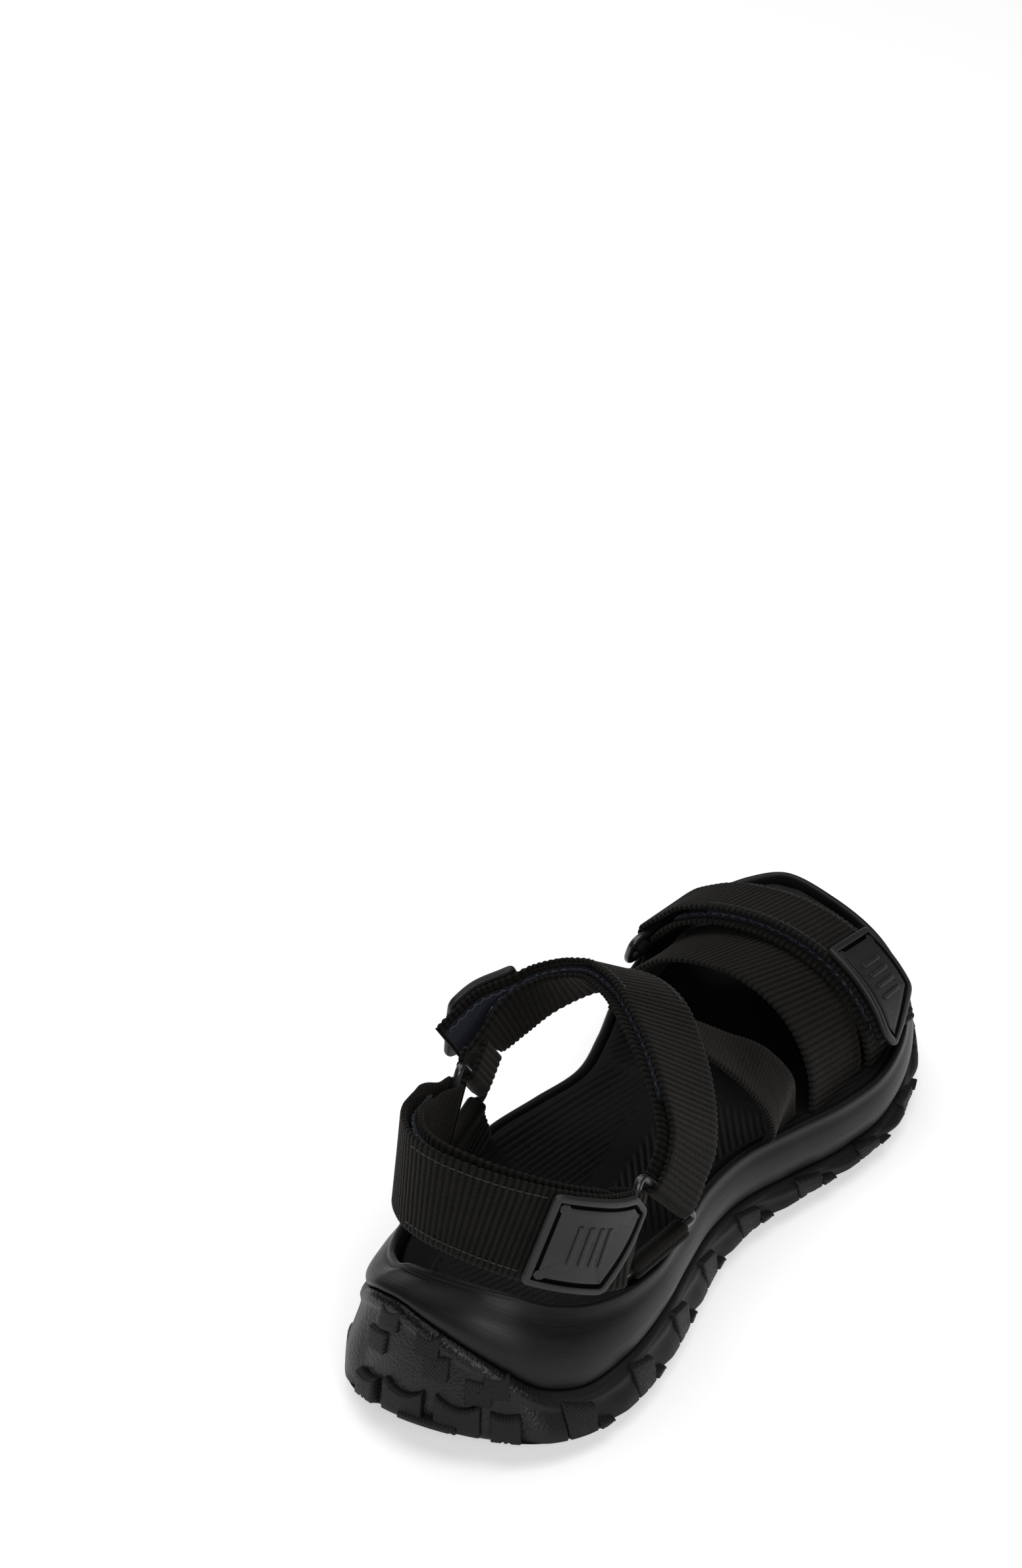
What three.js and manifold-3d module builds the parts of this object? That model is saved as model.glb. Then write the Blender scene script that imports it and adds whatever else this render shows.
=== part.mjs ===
// Trail sport sandal, right foot. Millimetres, +Z up, +Y towards the toe, +X towards the outer side.
import * as THREE from 'three';
import { mergeVertices } from 'three/addons/utils/BufferGeometryUtils.js';
import Module from 'manifold-3d';

const wasm = await Module();
wasm.setup();

// ---- driving dimensions ----------------------------------------------------
const GAP = 0.3;              // clearance left between neighbouring pieces
const LUG_DEPTH = 3.5;        // tread lugs below the outsole floor
const OUTSOLE_FLOOR = 3.0;    // thickness of the outsole under the midsole
const CUP_WALL = 2.4;         // thickness of the outsole wall
const TOE_SPRING = 14;        // how far the toe curls up
const HEEL_BEVEL = 5;         // how far the heel is cut up at the back
const RIM_WIDTH = 2.2;        // flat top of the midsole rim
const RECESS_SLOPE = 0.8;     // the recess wall leans in this much
const BOARD = 1.2;            // insole board
const FOOTBED = 5.0;          // footbed
const WEBBING = 1.8;          // one layer of webbing
const TAPE = 1.0;             // one layer of hook or loop tape
const PAD = 2.2;              // moulded rubber pull tab
const WIRE = 1.35;            // radius of the ring wire
const ANKLE_WIDTH = 31;       // heel strap
const INSTEP_WIDTH = 30;
const FRONT_WIDTH = 28;
const BAND_WIDTH = 36;        // wide base band behind the toe closure
const CROSS_WIDTH = 24;
const LEG_WIDTH = 27;         // short straps from the ankle rings down to the sole
const ANCHOR_WIDTH = 25;

// Sole outline, heel to toe, [x, y]; and per station: outsole wall top and its inset,
// midsole rim top and its inset, recess floor. Heights leave out the toe spring.
const LATERAL = [[1, 0], [18, 2.5], [33, 11], [43, 26], [47.3, 46], [46.8, 70], [43.3, 95], [40.2, 118],
  [41.5, 140], [48, 162], [55, 184], [58.8, 207], [56, 231], [46.5, 254], [31, 271], [9, 283], [-13, 288]];
const MEDIAL = [[1, 0], [-15, 2.5], [-29, 10.5], [-37.5, 25], [-41, 45], [-41.3, 68], [-41, 92], [-40, 116],
  [-34.5, 138], [-30.2, 160], [-34, 183], [-40, 207], [-43, 230], [-42.5, 250], [-37, 268], [-27, 281],
  [-13, 288]];
const WALL_TOP = {
  lateral: [36, 29, 21, 18.6, 19.4, 19.5, 19, 17.5, 16, 14, 12, 11, 11, 12, 13, 14, 14],
  medial: [36, 42, 41, 34, 27, 23, 21, 18, 16, 14, 12, 11, 11, 12, 13, 14, 14],
};
const WALL_INSET = [6, 6, 5, 3.5, 2.5, 2, 2, 1.6, 1.3, 1, 1, 1, 1, 1, 1.2, 1.5, 1.5];
const RIM_TOP = [49, 48.6, 47.6, 45, 40.5, 37, 35.8, 35, 34, 32, 30, 28.5, 28, 28, 28, 28, 28];
const RIM_INSET = [15, 15, 14.5, 11, 6.5, 3.2, 2.4, 1.8, 1.2, 0.9, 0.8, 0.8, 1, 2, 3, 4, 4];
const RECESS = [27, 27, 27, 27, 27, 27, 26.5, 26, 24.5, 22.5, 20.5, 19, 18.5, 18.5, 18.5, 18.5, 18.5];
const LAST = LATERAL.length - 1;
const STEPS = 2;              // outline samples between two stations

// ---- small helpers -----------------------------------------------------------
const V = (x, y, z) => new THREE.Vector3(x, y, z);
const along = (p, d, k) => p.clone().addScaledVector(d, k);

function lift(y) {
  const toe = Math.max(0, (y - 196) / 92);
  const heel = Math.max(0, (32 - y) / 32);
  return TOE_SPRING * toe * toe + HEEL_BEVEL * heel * heel;
}

function tableAt(table, station) {
  const i = Math.min(Math.floor(station), LAST - 1);
  return THREE.MathUtils.lerp(table[i], table[i + 1], station - i);
}

function solid(positions, triangles) {
  const geometry = new THREE.BufferGeometry();
  const flat = positions.flatMap((p) => p.toArray());
  geometry.setAttribute('position', new THREE.Float32BufferAttribute(flat, 3));
  geometry.setIndex(triangles.flat());
  return geometry;
}

function toManifold(geometry) {
  const clean = geometry.index ? geometry : mergeVertices(geometry, 1e-4);
  return new wasm.Manifold(new wasm.Mesh({
    numProp: 3,
    vertProperties: new Float32Array(clean.attributes.position.array),
    triVerts: new Uint32Array(clean.index.array),
  }));
}

function fromManifold(body) {
  const mesh = body.getMesh();
  const geometry = new THREE.BufferGeometry();
  geometry.setAttribute('position', new THREE.BufferAttribute(mesh.vertProperties, 3));
  geometry.setIndex(new THREE.BufferAttribute(mesh.triVerts, 1));
  return geometry;
}

// ---- sole outline --------------------------------------------------------------
const outlineCurve = new THREE.CatmullRomCurve3(
  [...LATERAL, ...MEDIAL.slice(1, -1).reverse()].map(([x, y]) => V(x, y, 0)), true, 'centripetal');

// One entry per outline sample, anticlockwise from the heel: point, inward direction, side, station.
const outline = Array.from({ length: 2 * LAST * STEPS }, (_, i) => {
  const t = i / (2 * LAST * STEPS);
  const tangent = outlineCurve.getTangent(t);
  const station = i / STEPS <= LAST ? i / STEPS : 2 * LAST - i / STEPS;
  return {
    at: outlineCurve.getPoint(t),
    inward: V(-tangent.y, tangent.x, 0),
    side: i / STEPS <= LAST ? 'lateral' : 'medial',
    station,
  };
});

function soleRing(inset, height) {
  return outline.map((o) => {
    const p = along(o.at, o.inward, inset(o));
    p.z = height(o, p.y);
    return p;
  });
}

// Closed body through rings of equal count; first ring capped below, last ring capped on top.
function loft(rings) {
  const n = rings[0].length;
  const triangles = [];
  for (let r = 0; r < rings.length - 1; r += 1) {
    for (let i = 0; i < n; i += 1) {
      const a = r * n + i;
      const b = r * n + (i + 1) % n;
      triangles.push([a, b, b + n], [a, b + n, a + n]);
    }
  }
  const top = (rings.length - 1) * n;
  for (let i = 0; i < n / 2; i += 1) {
    const j = (n - i) % n;
    const k = n - i - 1;
    if (i > 0) {
      triangles.push([j, i + 1, i], [top + i, top + i + 1, top + j]);
    }
    if (k !== i + 1) {
      triangles.push([j, k, i + 1], [top + i + 1, top + k, top + j]);
    }
  }
  return solid(rings.flat(), triangles);
}

const wallTop = (o) => tableAt(WALL_TOP[o.side], o.station);
const wallInset = (o) => tableAt(WALL_INSET, o.station);
const rimTop = (o) => tableAt(RIM_TOP, o.station);
const rimInset = (o) => tableAt(RIM_INSET, o.station);
const recess = (o) => tableAt(RECESS, o.station);
const spring = (o) => lift(o.at.y);

// ---- sole pieces ----------------------------------------------------------------
const LUG_TANGENT = 10;       // lug size along the edge
const LUG_OUT = 2.6;          // how far it stands proud of the wall
const LUG_UP = 9;             // how far it climbs the wall

function block(centre, alongDir, acrossDir, size) {
  const up = V(0, 0, 1);
  const half = [size[0] / 2, size[1] / 2];
  const corners = [];
  for (const z of [0, size[2]]) {
    for (const [i, j] of [[-1, -1], [1, -1], [1, 1], [-1, 1]]) {
      const base = along(along(centre, alongDir, i * half[0]), acrossDir, j * half[1]);
      corners.push(along(base, up, z));
    }
  }
  return solid(corners, [[0, 2, 1], [0, 3, 2], [4, 5, 6], [4, 6, 7], [0, 1, 5], [0, 5, 4],
    [1, 2, 6], [1, 6, 5], [2, 3, 7], [2, 7, 6], [3, 0, 4], [3, 4, 7]]);
}

function perimeterLugs() {
  const lugs = [];
  for (let i = 0; i < outline.length; i += 2) {
    const o = outline[i];
    const tangent = V(o.inward.y, -o.inward.x, 0);
    const tall = Math.min(i % 4 === 0 ? LUG_UP + 4 : LUG_UP, wallTop(o) - 1);
    for (const [depth, height] of [[8, LUG_DEPTH + 0.7], [LUG_OUT + 1.4, tall]]) {
      const centre = along(o.at, o.inward, depth / 2 - LUG_OUT);
      centre.z = spring(o);
      lugs.push(block(centre, tangent, o.inward, [LUG_TANGENT, depth, height]));
    }
  }
  return lugs;
}

function treadLugs() {
  const lugs = [];
  for (let y = 26; y < 270; y += 15) {
    const station = LATERAL.findIndex(([, sy]) => sy > y) - 1;
    const k = (y - LATERAL[station][1]) / (LATERAL[station + 1][1] - LATERAL[station][1]);
    const lateral = tableAt(LATERAL.map(([x]) => x), station + k);
    const medial = tableAt(MEDIAL.map(([x]) => x), station + k);
    const span = lateral - medial - 34;
    for (const part of [0.22, 0.78]) {
      const centre = V(medial + 17 + span * part, y, lift(y));
      const turn = part < 0.5 ? 0.35 : -0.35;
      lugs.push(block(centre, V(Math.cos(turn), Math.sin(turn), 0), V(-Math.sin(turn), Math.cos(turn), 0),
        [span * 0.36, 7.5, LUG_DEPTH + 1]));
    }
  }
  return lugs;
}

function outsole() {
  const bottom = (o) => LUG_DEPTH + spring(o);
  const cup = loft([
    soleRing(() => 7, bottom),
    soleRing(() => 1.2, (o) => bottom(o) + 0.6),
    soleRing(() => 0, (o) => bottom(o) + 4),
    soleRing(wallInset, (o) => wallTop(o) + spring(o)),
    soleRing((o) => wallInset(o) + CUP_WALL, (o) => wallTop(o) + spring(o)),
    soleRing((o) => wallInset(o) + CUP_WALL + 3, (o) => bottom(o) + OUTSOLE_FLOOR),
  ]);
  const lugs = [...perimeterLugs(), ...treadLugs()].map(toManifold);
  return fromManifold(wasm.Manifold.union([toManifold(cup), ...lugs]));
}

function midsole() {
  const seat = (o) => wallInset(o) + CUP_WALL + 3 * GAP;
  return loft([
    soleRing((o) => seat(o) + 3, (o) => LUG_DEPTH + OUTSOLE_FLOOR + GAP + spring(o)),
    soleRing(seat, (o) => wallTop(o) + 2 * GAP + spring(o)),
    soleRing((o) => wallInset(o) + 0.4, (o) => wallTop(o) + 2 * GAP + spring(o)),
    soleRing((o) => THREE.MathUtils.lerp(wallInset(o), rimInset(o), 0.42) - 0.6,
      (o) => THREE.MathUtils.lerp(wallTop(o), rimTop(o), 0.62) + spring(o)),
    soleRing(rimInset, (o) => rimTop(o) + spring(o)),
    soleRing((o) => rimInset(o) + RIM_WIDTH, (o) => rimTop(o) + spring(o)),
    soleRing((o) => rimInset(o) + RIM_WIDTH + RECESS_SLOPE, (o) => recess(o) + spring(o)),
  ]);
}

function layer(fromZ, toZ, dish) {
  const edge = (o) => rimInset(o) + RIM_WIDTH + RECESS_SLOPE + GAP;
  return [
    soleRing(edge, (o) => recess(o) + fromZ + spring(o)),
    soleRing(edge, (o) => recess(o) + toZ + dish + spring(o)),
    soleRing((o) => edge(o) + 9, (o) => recess(o) + toZ + spring(o)),
  ];
}

// ---- straps -------------------------------------------------------------------
// A strap path is a centreline on the strap's inner face plus the outward direction at each point.
class StrapPath {
  constructor(stations) {
    this.centre = new THREE.CatmullRomCurve3(stations.map((s) => s.at), false, 'centripetal');
    this.outward = new THREE.CatmullRomCurve3(stations.map((s) => s.out), false, 'centripetal');
    this.length = this.centre.getLength();
  }

  parameter(distance) {
    return this.centre.getUtoTmapping(THREE.MathUtils.clamp(distance / this.length, 0, 1));
  }

  distanceAt(t) {
    const lengths = this.centre.getLengths(400);
    const k = t * 400;
    const i = Math.min(Math.floor(k), 399);
    return THREE.MathUtils.lerp(lengths[i], lengths[i + 1], k - i);
  }

  frameAt(t) {
    const at = this.centre.getPoint(t);
    const tangent = this.centre.getTangent(t);
    const out = this.outward.getPoint(t);
    out.addScaledVector(tangent, -out.dot(tangent)).normalize();
    return { at, tangent, out, across: tangent.clone().cross(out) };
  }

  frame(distance) {
    return this.frameAt(this.parameter(distance));
  }
}

const station = (at, out) => ({ at: V(...at), out: V(...out).normalize() });

// Solid between two offsets from a strap path; edges(s) gives its two edges across the strap.
function ribbon(path, { from = 0, to = path.length, low = 0, high = WEBBING, width, edges, steps = 16 }) {
  const sides = edges ?? (() => [-width / 2, width / 2]);
  const points = [];
  const triangles = [];
  for (let i = 0; i <= steps; i += 1) {
    const t = THREE.MathUtils.lerp(path.parameter(from), path.parameter(to), i / steps);
    const f = path.frameAt(t);
    const [left, right] = sides(path.distanceAt(t) - from, to - from);
    for (const [side, offset] of [[left, low], [right, low], [right, high], [left, high]]) {
      points.push(along(along(f.at, f.across, side), f.out, offset));
    }
    if (i === 0) {
      continue;
    }
    const b = 4 * i;
    const a = b - 4;
    for (let k = 0; k < 4; k += 1) {
      const m = (k + 1) % 4;
      triangles.push([a + k, b + k, b + m], [a + k, b + m, a + m]);
    }
  }
  const end = 4 * steps;
  triangles.push([0, 1, 2], [0, 2, 3], [end, end + 2, end + 1], [end, end + 3, end + 2]);
  return solid(points, triangles);
}

function closedTube(points, normal, radius, sides = 8) {
  const n = points.length;
  const rings = points.map((p, i) => {
    const tangent = points[(i + 1) % n].clone().sub(points[(i + n - 1) % n]).normalize();
    const outward = tangent.clone().cross(normal);
    return Array.from({ length: sides }, (_, k) => {
      const a = (2 * Math.PI * k) / sides;
      return along(along(p, outward, radius * Math.cos(a)), normal, radius * Math.sin(a));
    });
  });
  const triangles = [];
  for (let i = 0; i < n; i += 1) {
    const j = (i + 1) % n;
    for (let k = 0; k < sides; k += 1) {
      const m = (k + 1) % sides;
      const [a, b] = [i * sides, j * sides];
      triangles.push([a + k, b + k, b + m], [a + k, b + m, a + m]);
    }
  }
  return solid(rings.flat(), triangles);
}

// Polygon with its corners rounded by quadratic curves.
function rounded(corners, radius, steps = 5) {
  return corners.flatMap((corner, i) => {
    const before = corners[(i + corners.length - 1) % corners.length];
    const after = corners[(i + 1) % corners.length];
    const start = along(corner, before.clone().sub(corner).normalize(), radius);
    const end = along(corner, after.clone().sub(corner).normalize(), radius);
    return new THREE.QuadraticBezierCurve3(start, corner, end).getPoints(steps);
  });
}

// ---- ankle rings ----------------------------------------------------------------
// Corners of each triangular ring: top (heel and instep straps meet), rear foot, front foot.
const RINGS = {
  lateral: { top: V(38, 67, 71), rear: V(38, 50, 42), front: V(45, 91.5, 42.5), out: 1 },
  medial: { top: V(-33, 87, 77), rear: V(-36, 74.5, 45), front: V(-39, 115, 48), out: -1 },
};

for (const ring of Object.values(RINGS)) {
  ring.centre = ring.top.clone().add(ring.rear).add(ring.front).divideScalar(3);
  ring.normal = ring.front.clone().sub(ring.rear).cross(ring.top.clone().sub(ring.rear)).normalize();
  ring.normal.multiplyScalar(Math.sign(ring.normal.x) * ring.out);
  ring.bar = (a, b) => {
    const middle = ring[a].clone().add(ring[b]).multiplyScalar(0.5);
    const axis = ring[b].clone().sub(ring[a]).normalize();
    const away = axis.clone().cross(ring.normal);
    away.multiplyScalar(Math.sign(away.dot(middle.clone().sub(ring.centre))));
    return { middle, axis, away };
  };
}

const ankleRing = (ring) => closedTube(
  rounded([ring.top, ring.rear, ring.front], 4),
  ring.normal, WIRE);

// ---- strap routes -----------------------------------------------------------------
// Layers stacked outward from a strap's inner face: webbing, loop tape, hook tape, flap, pad.
const BAR = WIRE + GAP;
const LOOP_LOW = WEBBING + GAP;
const HOOK_LOW = LOOP_LOW + TAPE + GAP;
const FLAP_LOW = WEBBING + 2 * BAR;
const PAD_LOW = FLAP_LOW + WEBBING + GAP;

// Points round a ring bar from angle a to angle b; 90 deg is outside, 180 deg is inside the ring.
function turn(bar, normal, a, b, steps = 7) {
  return Array.from({ length: steps + 1 }, (_, k) => {
    const angle = THREE.MathUtils.degToRad(THREE.MathUtils.lerp(a, b, k / steps));
    const out = along(bar.away.clone().multiplyScalar(Math.cos(angle)), normal, Math.sin(angle));
    return { at: along(bar.middle, out, BAR), out };
  });
}

// Sewn end: the strap leaves the bar on its outside, its tail lies on the inside.
function sewnEnd(bar, normal, tail) {
  const under = along(along(bar.middle, normal, -BAR), bar.away, tail);
  return [{ at: under, out: normal.clone().negate() }, ...turn(bar, normal, 270, 90)];
}

const leaving = (bar, normal, offset, distance) => (
  { at: along(along(bar.middle, normal, offset), bar.away, distance), out: normal });

function ankleRoute(sewn, folded, route) {
  const [sewnRing, sewnBar] = sewn;
  const [foldRing, foldBar] = folded;
  return new StrapPath([
    ...sewnEnd(sewnBar, sewnRing.normal, 11),
    leaving(sewnBar, sewnRing.normal, BAR, 7),
    ...route.map(([at, out]) => station(at, out)),
    leaving(foldBar, foldRing.normal, -BAR - WEBBING, 8),
    leaving(foldBar, foldRing.normal, -BAR - WEBBING, 2.4),
  ]);
}

const L = RINGS.lateral;
const M = RINGS.medial;
const heelSewn = L.bar('top', 'rear');
const heelFold = M.bar('top', 'rear');
const instepFold = L.bar('top', 'front');
const instepSewn = M.bar('top', 'front');

const heelPath = ankleRoute([L, heelSewn], [M, heelFold], [
  [[36, 44, 63], [0.94, -0.34, 0.1]], [[30, 31, 70.5], [0.78, -0.62, 0.14]],
  [[18.5, 22, 77.5], [0.45, -0.88, 0.16]], [[4, 18.5, 82], [0, -1, 0.16]],
  [[-9, 21.5, 82.5], [-0.5, -0.86, 0.14]], [[-18.5, 32, 80], [-0.84, -0.53, 0.12]],
  [[-24.5, 48, 74], [-0.96, -0.26, 0.1]], [[-28.5, 64, 68], [-0.98, -0.1, 0.05]],
]);
const instepPath = ankleRoute([M, instepSewn], [L, instepFold], [
  [[-33.5, 109, 71], [-0.96, 0.13, 0.25]], [[-28.5, 118, 78], [-0.83, 0.42, 0.36]],
  [[-19.5, 127.5, 83.5], [-0.62, 0.54, 0.56]], [[-7, 132.5, 87], [-0.19, 0.58, 0.78]],
  [[6, 128.5, 87], [0.18, 0.46, 0.87]], [[18.5, 117.5, 83], [0.5, 0.33, 0.8]],
  [[30.5, 103.5, 75.5], [0.76, 0.2, 0.62]], [[38, 91.5, 66.5], [0.93, 0.05, 0.35]],
]);

// The flap leaves the fold bar on its outside and runs back over its own strap; the distance
// is measured from the fold. loose holds any stations beyond that, where the free end stands off.
function flapPath(path, bar, normal, length, loose = []) {
  const start = path.length;
  const count = 16;
  const over = Array.from({ length: count }, (_, i) => {
    const k = (i + 1) / count;
    const f = path.frame(start - 8 - (length - 8) * k);
    return { at: along(f.at, f.out, FLAP_LOW), out: f.out };
  });
  return new StrapPath([...turn(bar, normal, 262, 90), leaving(bar, normal, BAR, 7), ...over,
    ...loose.map(([at, out]) => station(at, out))]);
}

const heelFlap = flapPath(heelPath, heelFold, M.normal, 138);
const instepFlap = flapPath(instepPath, instepFold, L.normal, 104, [
  [[-38.4, 117.6, 77.4], [-0.84, 0.42, 0.34]], [[-43.2, 110.6, 72.2], [-0.84, 0.42, 0.34]],
  [[-47.2, 103.4, 66.6], [-0.84, 0.4, 0.34]],
]);

// Inner edge of the channel the straps come up through.
function strapFoot(side, y) {
  const table = side === 'lateral' ? LATERAL : MEDIAL;
  const i = Math.max(0, table.findIndex(([, sy]) => sy > y) - 1);
  const at = i + (y - table[i][1]) / (table[i + 1][1] - table[i][1]);
  const sign = side === 'lateral' ? 1 : -1;
  const inset = tableAt(RIM_INSET, at) + RIM_WIDTH + RECESS_SLOPE + 2 * GAP + WEBBING;
  return V(tableAt(table.map(([x]) => x), at) - sign * inset, y, tableAt(RECESS, at) + BOARD + 3 + lift(y));
}

const CROWN_SLOPE = 0.22;

// Arch over the toes at one y: angle 0 is the outer foot of the strap, 180 the inner foot.
function archPoint(y, angle) {
  const a = strapFoot('lateral', y);
  const b = strapFoot('medial', y);
  const crown = 59.5 - CROWN_SLOPE * (y - 222);
  const [c, s] = [Math.cos(angle), Math.sin(angle)];
  const power = 2 / (c > 0 ? 1.95 : 2.15);
  const base = (a.z + b.z) / 2;
  return V((a.x + b.x) / 2 + ((a.x - b.x) / 2) * Math.sign(c) * Math.abs(c) ** power, y,
    base + (crown - base) * Math.abs(s) ** power);
}

function archStation(y, angle, offset = 0) {
  const at = archPoint(y, angle);
  const step = 0.02;
  const turning = archPoint(y, Math.min(angle + step, Math.PI)).sub(archPoint(y, Math.max(angle - step, 0)));
  const out = V(0.04, 1, -CROWN_SLOPE).cross(turning).normalize();
  return { at: along(at, out, offset), out };
}

function archPath(fromY, toY, fromAngle, toAngle, offset = 0, count = 12) {
  const stations = Array.from({ length: count + 1 }, (_, i) => {
    const k = i / count;
    const angle = THREE.MathUtils.degToRad(THREE.MathUtils.lerp(fromAngle, toAngle, k));
    return archStation(THREE.MathUtils.lerp(fromY, toY, k), angle, offset);
  });
  return new StrapPath(stations);
}

const bandPath = archPath(191, 222, 3, 177, -WEBBING - 5 * GAP);
const closurePath = archPath(221, 237, 0, 148);

// Toe ring: the closure passes up through it and folds back as the flap.
const TOE_RING = { length: 37, gap: 9.5, corner: 4, down: V(-0.3, 0.05, -0.95) };
const fold = closurePath.frame(closurePath.length);
const toeFold = {
  middle: along(along(fold.at, fold.tangent, 2.4), fold.out, WEBBING + BAR),
  axis: fold.across,
  away: fold.tangent.clone().negate(),
};
const ringOut = fold.across.clone().cross(TOE_RING.down).normalize();
const ringDown = ringOut.clone().cross(fold.across);
const toeAnchor = {
  middle: along(toeFold.middle, ringDown, TOE_RING.gap),
  axis: fold.across,
  away: ringDown,
};

function toeRing() {
  const half = TOE_RING.length / 2;
  const corners = [[toeFold, -half], [toeFold, half], [toeAnchor, half], [toeAnchor, -half]];
  const path = rounded(corners.map(([bar, k]) => along(bar.middle, bar.axis, k)), TOE_RING.corner);
  return closedTube(path, ringOut, WIRE);
}

const footStation = (side, y, raise = 0) => (
  { at: along(strapFoot(side, y), V(0, 0, 1), raise), out: V(side === 'lateral' ? 1 : -1, 0, 0) });

// Leg: loops round its bar, its tail outside, and runs down on the inside to the sole.
function legPath(bar, normal, side, y, { inset = 0, raise = 0, drop = 4 } = {}) {
  const inner = normal.clone().negate();
  const foot = strapFoot(side, y);
  const inward = V(-normal.x, -normal.y, 0).normalize();
  const base = along(along(foot, inward, inset - WEBBING), V(0, 0, 1), raise);
  return new StrapPath([
    leaving(bar, normal, BAR, 2), ...turn(bar, normal, 90, 270),
    { at: along(along(bar.middle, inner, BAR), bar.away, drop), out: inner },
    { at: along(base, V(0, 0, 1), Math.min(4, 2 * drop)), out: inward }, { at: base, out: inward },
  ]);
}

const lateralLeg = legPath(L.bar('rear', 'front'), L.normal, 'lateral', 71);
const medialLeg = legPath(M.bar('rear', 'front'), M.normal, 'medial', 97);
const anchorPath = legPath(toeAnchor, ringOut, 'medial', toeAnchor.middle.y,
  { inset: 1.6, raise: 3, drop: 1 });
const closureFlap = flapPath(closurePath, toeFold, fold.out, 97);
const crossRoute = [
  [[43, 157, 43], [0.97, 0.12, 0.2]], [[38, 152, 55], [0.88, 0.25, 0.4]],
  [[30, 147, 62.8], [0.68, 0.38, 0.62]], [[19, 142, 70.2], [0.45, 0.42, 0.78]],
  [[7, 138, 75.5], [0.25, 0.45, 0.86]], [[-5, 136, 78.3], [0, 0.48, 0.88]],
];
const crossPath = new StrapPath([
  footStation('lateral', 160), footStation('lateral', 159.6, 8),
  ...crossRoute.map(([at, out]) => station(at, out)),
]);

// Channels for the strap feet, cut out of the sole layers they pass.
const feet = [[lateralLeg, true, LEG_WIDTH], [medialLeg, true, LEG_WIDTH], [anchorPath, true, ANCHOR_WIDTH],
  [closurePath, false, FRONT_WIDTH], [bandPath, false, BAND_WIDTH], [bandPath, true, BAND_WIDTH],
  [crossPath, false, CROSS_WIDTH]];

const channels = (beyond) => feet.map(([path, atEnd, width]) => {
  const f = path.frame(atEnd ? path.length : 0);
  const out = V(f.out.x, f.out.y, 0).normalize();
  const outward = out.clone().multiplyScalar(Math.sign(out.x * f.at.x));
  const centre = along(along(f.at, out, WEBBING / 2), outward, beyond / 2);
  centre.z -= 6;
  const size = [width + 2.5, WEBBING + 2 + beyond, 30];
  return toManifold(block(centre, V(outward.y, -outward.x, 0), outward, size));
});

const cut = (geometry, beyond = 0) => fromManifold(
  wasm.Manifold.difference([toManifold(geometry), ...channels(beyond)]));

// ---- assembly -----------------------------------------------------------------------
// Strap width near its rings, widening to the full width.
const taper = (narrow, wide, reach = 26) => (distance, span) => {
  const k = THREE.MathUtils.smoothstep(Math.min(distance, span - distance), 20, 20 + reach);
  const half = THREE.MathUtils.lerp(narrow, wide, k) / 2;
  return [-half, half];
};

// Pull tab outline: square at the strap side, one long slanted corner and one short one at the free
// end. The long slant is on the side given by slant, 1 or -1.
const padEdges = (half, slant) => (distance, span) => {
  const long = 1.5 * half * Math.max(0, (distance - span * 0.66) / (span * 0.34));
  const short = 0.36 * half * Math.max(0, (distance - span * 0.84) / (span * 0.16));
  return slant > 0 ? [-half + short, half - long] : [-half + long, half - short];
};

const TAPES = { heel: [62, 24], instep: [34, 24], front: [16, 12] };
const SLANTS = { heel: 1, instep: -1, front: -1 };

function closureParts(name, path, flap, width, edges, tape, padAt) {
  const over = { from: tape[0], to: path.length - tape[1], low: LOOP_LOW, high: LOOP_LOW + TAPE };
  return {
    [`${name}_strap`]: ribbon(path, { width, edges, steps: 96 }),
    [`${name}_loop_patch`]: ribbon(path, { ...over, width: width - 5, steps: 72 }),
    [`${name}_pad`]: ribbon(flap, { from: flap.length - padAt, to: flap.length, low: WEBBING + 2.5 * GAP,
      high: WEBBING + 2.5 * GAP + PAD, edges: padEdges((width - 0.5) / 2, SLANTS[name]), steps: 18 }),
  };
}

const geometries = {
  outsole: outsole(),
  midsole: cut(midsole()),
  insole_board: loft(layer(0.15, 0.15 + BOARD, 0).slice(0, 2)),
  footbed: cut(loft(layer(0.3 + BOARD, 0.3 + BOARD + FOOTBED, 1.5)), 6),
  lateral_ring: ankleRing(L),
  medial_ring: ankleRing(M),
  toe_ring: toeRing(),
  lateral_leg: ribbon(lateralLeg, { width: LEG_WIDTH, steps: 18 }),
  medial_leg: ribbon(medialLeg, { width: LEG_WIDTH, steps: 18 }),
  toe_ring_anchor: ribbon(anchorPath, { width: ANCHOR_WIDTH, steps: 18 }),
  base_band: ribbon(bandPath, { width: BAND_WIDTH, steps: 32 }),
  cross_strap: ribbon(crossPath, { width: CROSS_WIDTH, steps: 20 }),
  ...closureParts('heel', heelPath, heelFlap, ANKLE_WIDTH, taper(24, ANKLE_WIDTH), TAPES.heel, 40),
  ...closureParts('instep', instepPath, instepFlap, INSTEP_WIDTH, taper(25, INSTEP_WIDTH), TAPES.instep, 33),
  ...closureParts('front', closurePath, closureFlap, FRONT_WIDTH, taper(27, FRONT_WIDTH), TAPES.front, 36),
};

const narrowAtFold = (width, from) => (distance) => {
  const k = THREE.MathUtils.smoothstep(from + distance, 12, 36);
  const half = THREE.MathUtils.lerp(Math.min(width, 24.5), width, k) / 2;
  return [-half, half];
};

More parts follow.
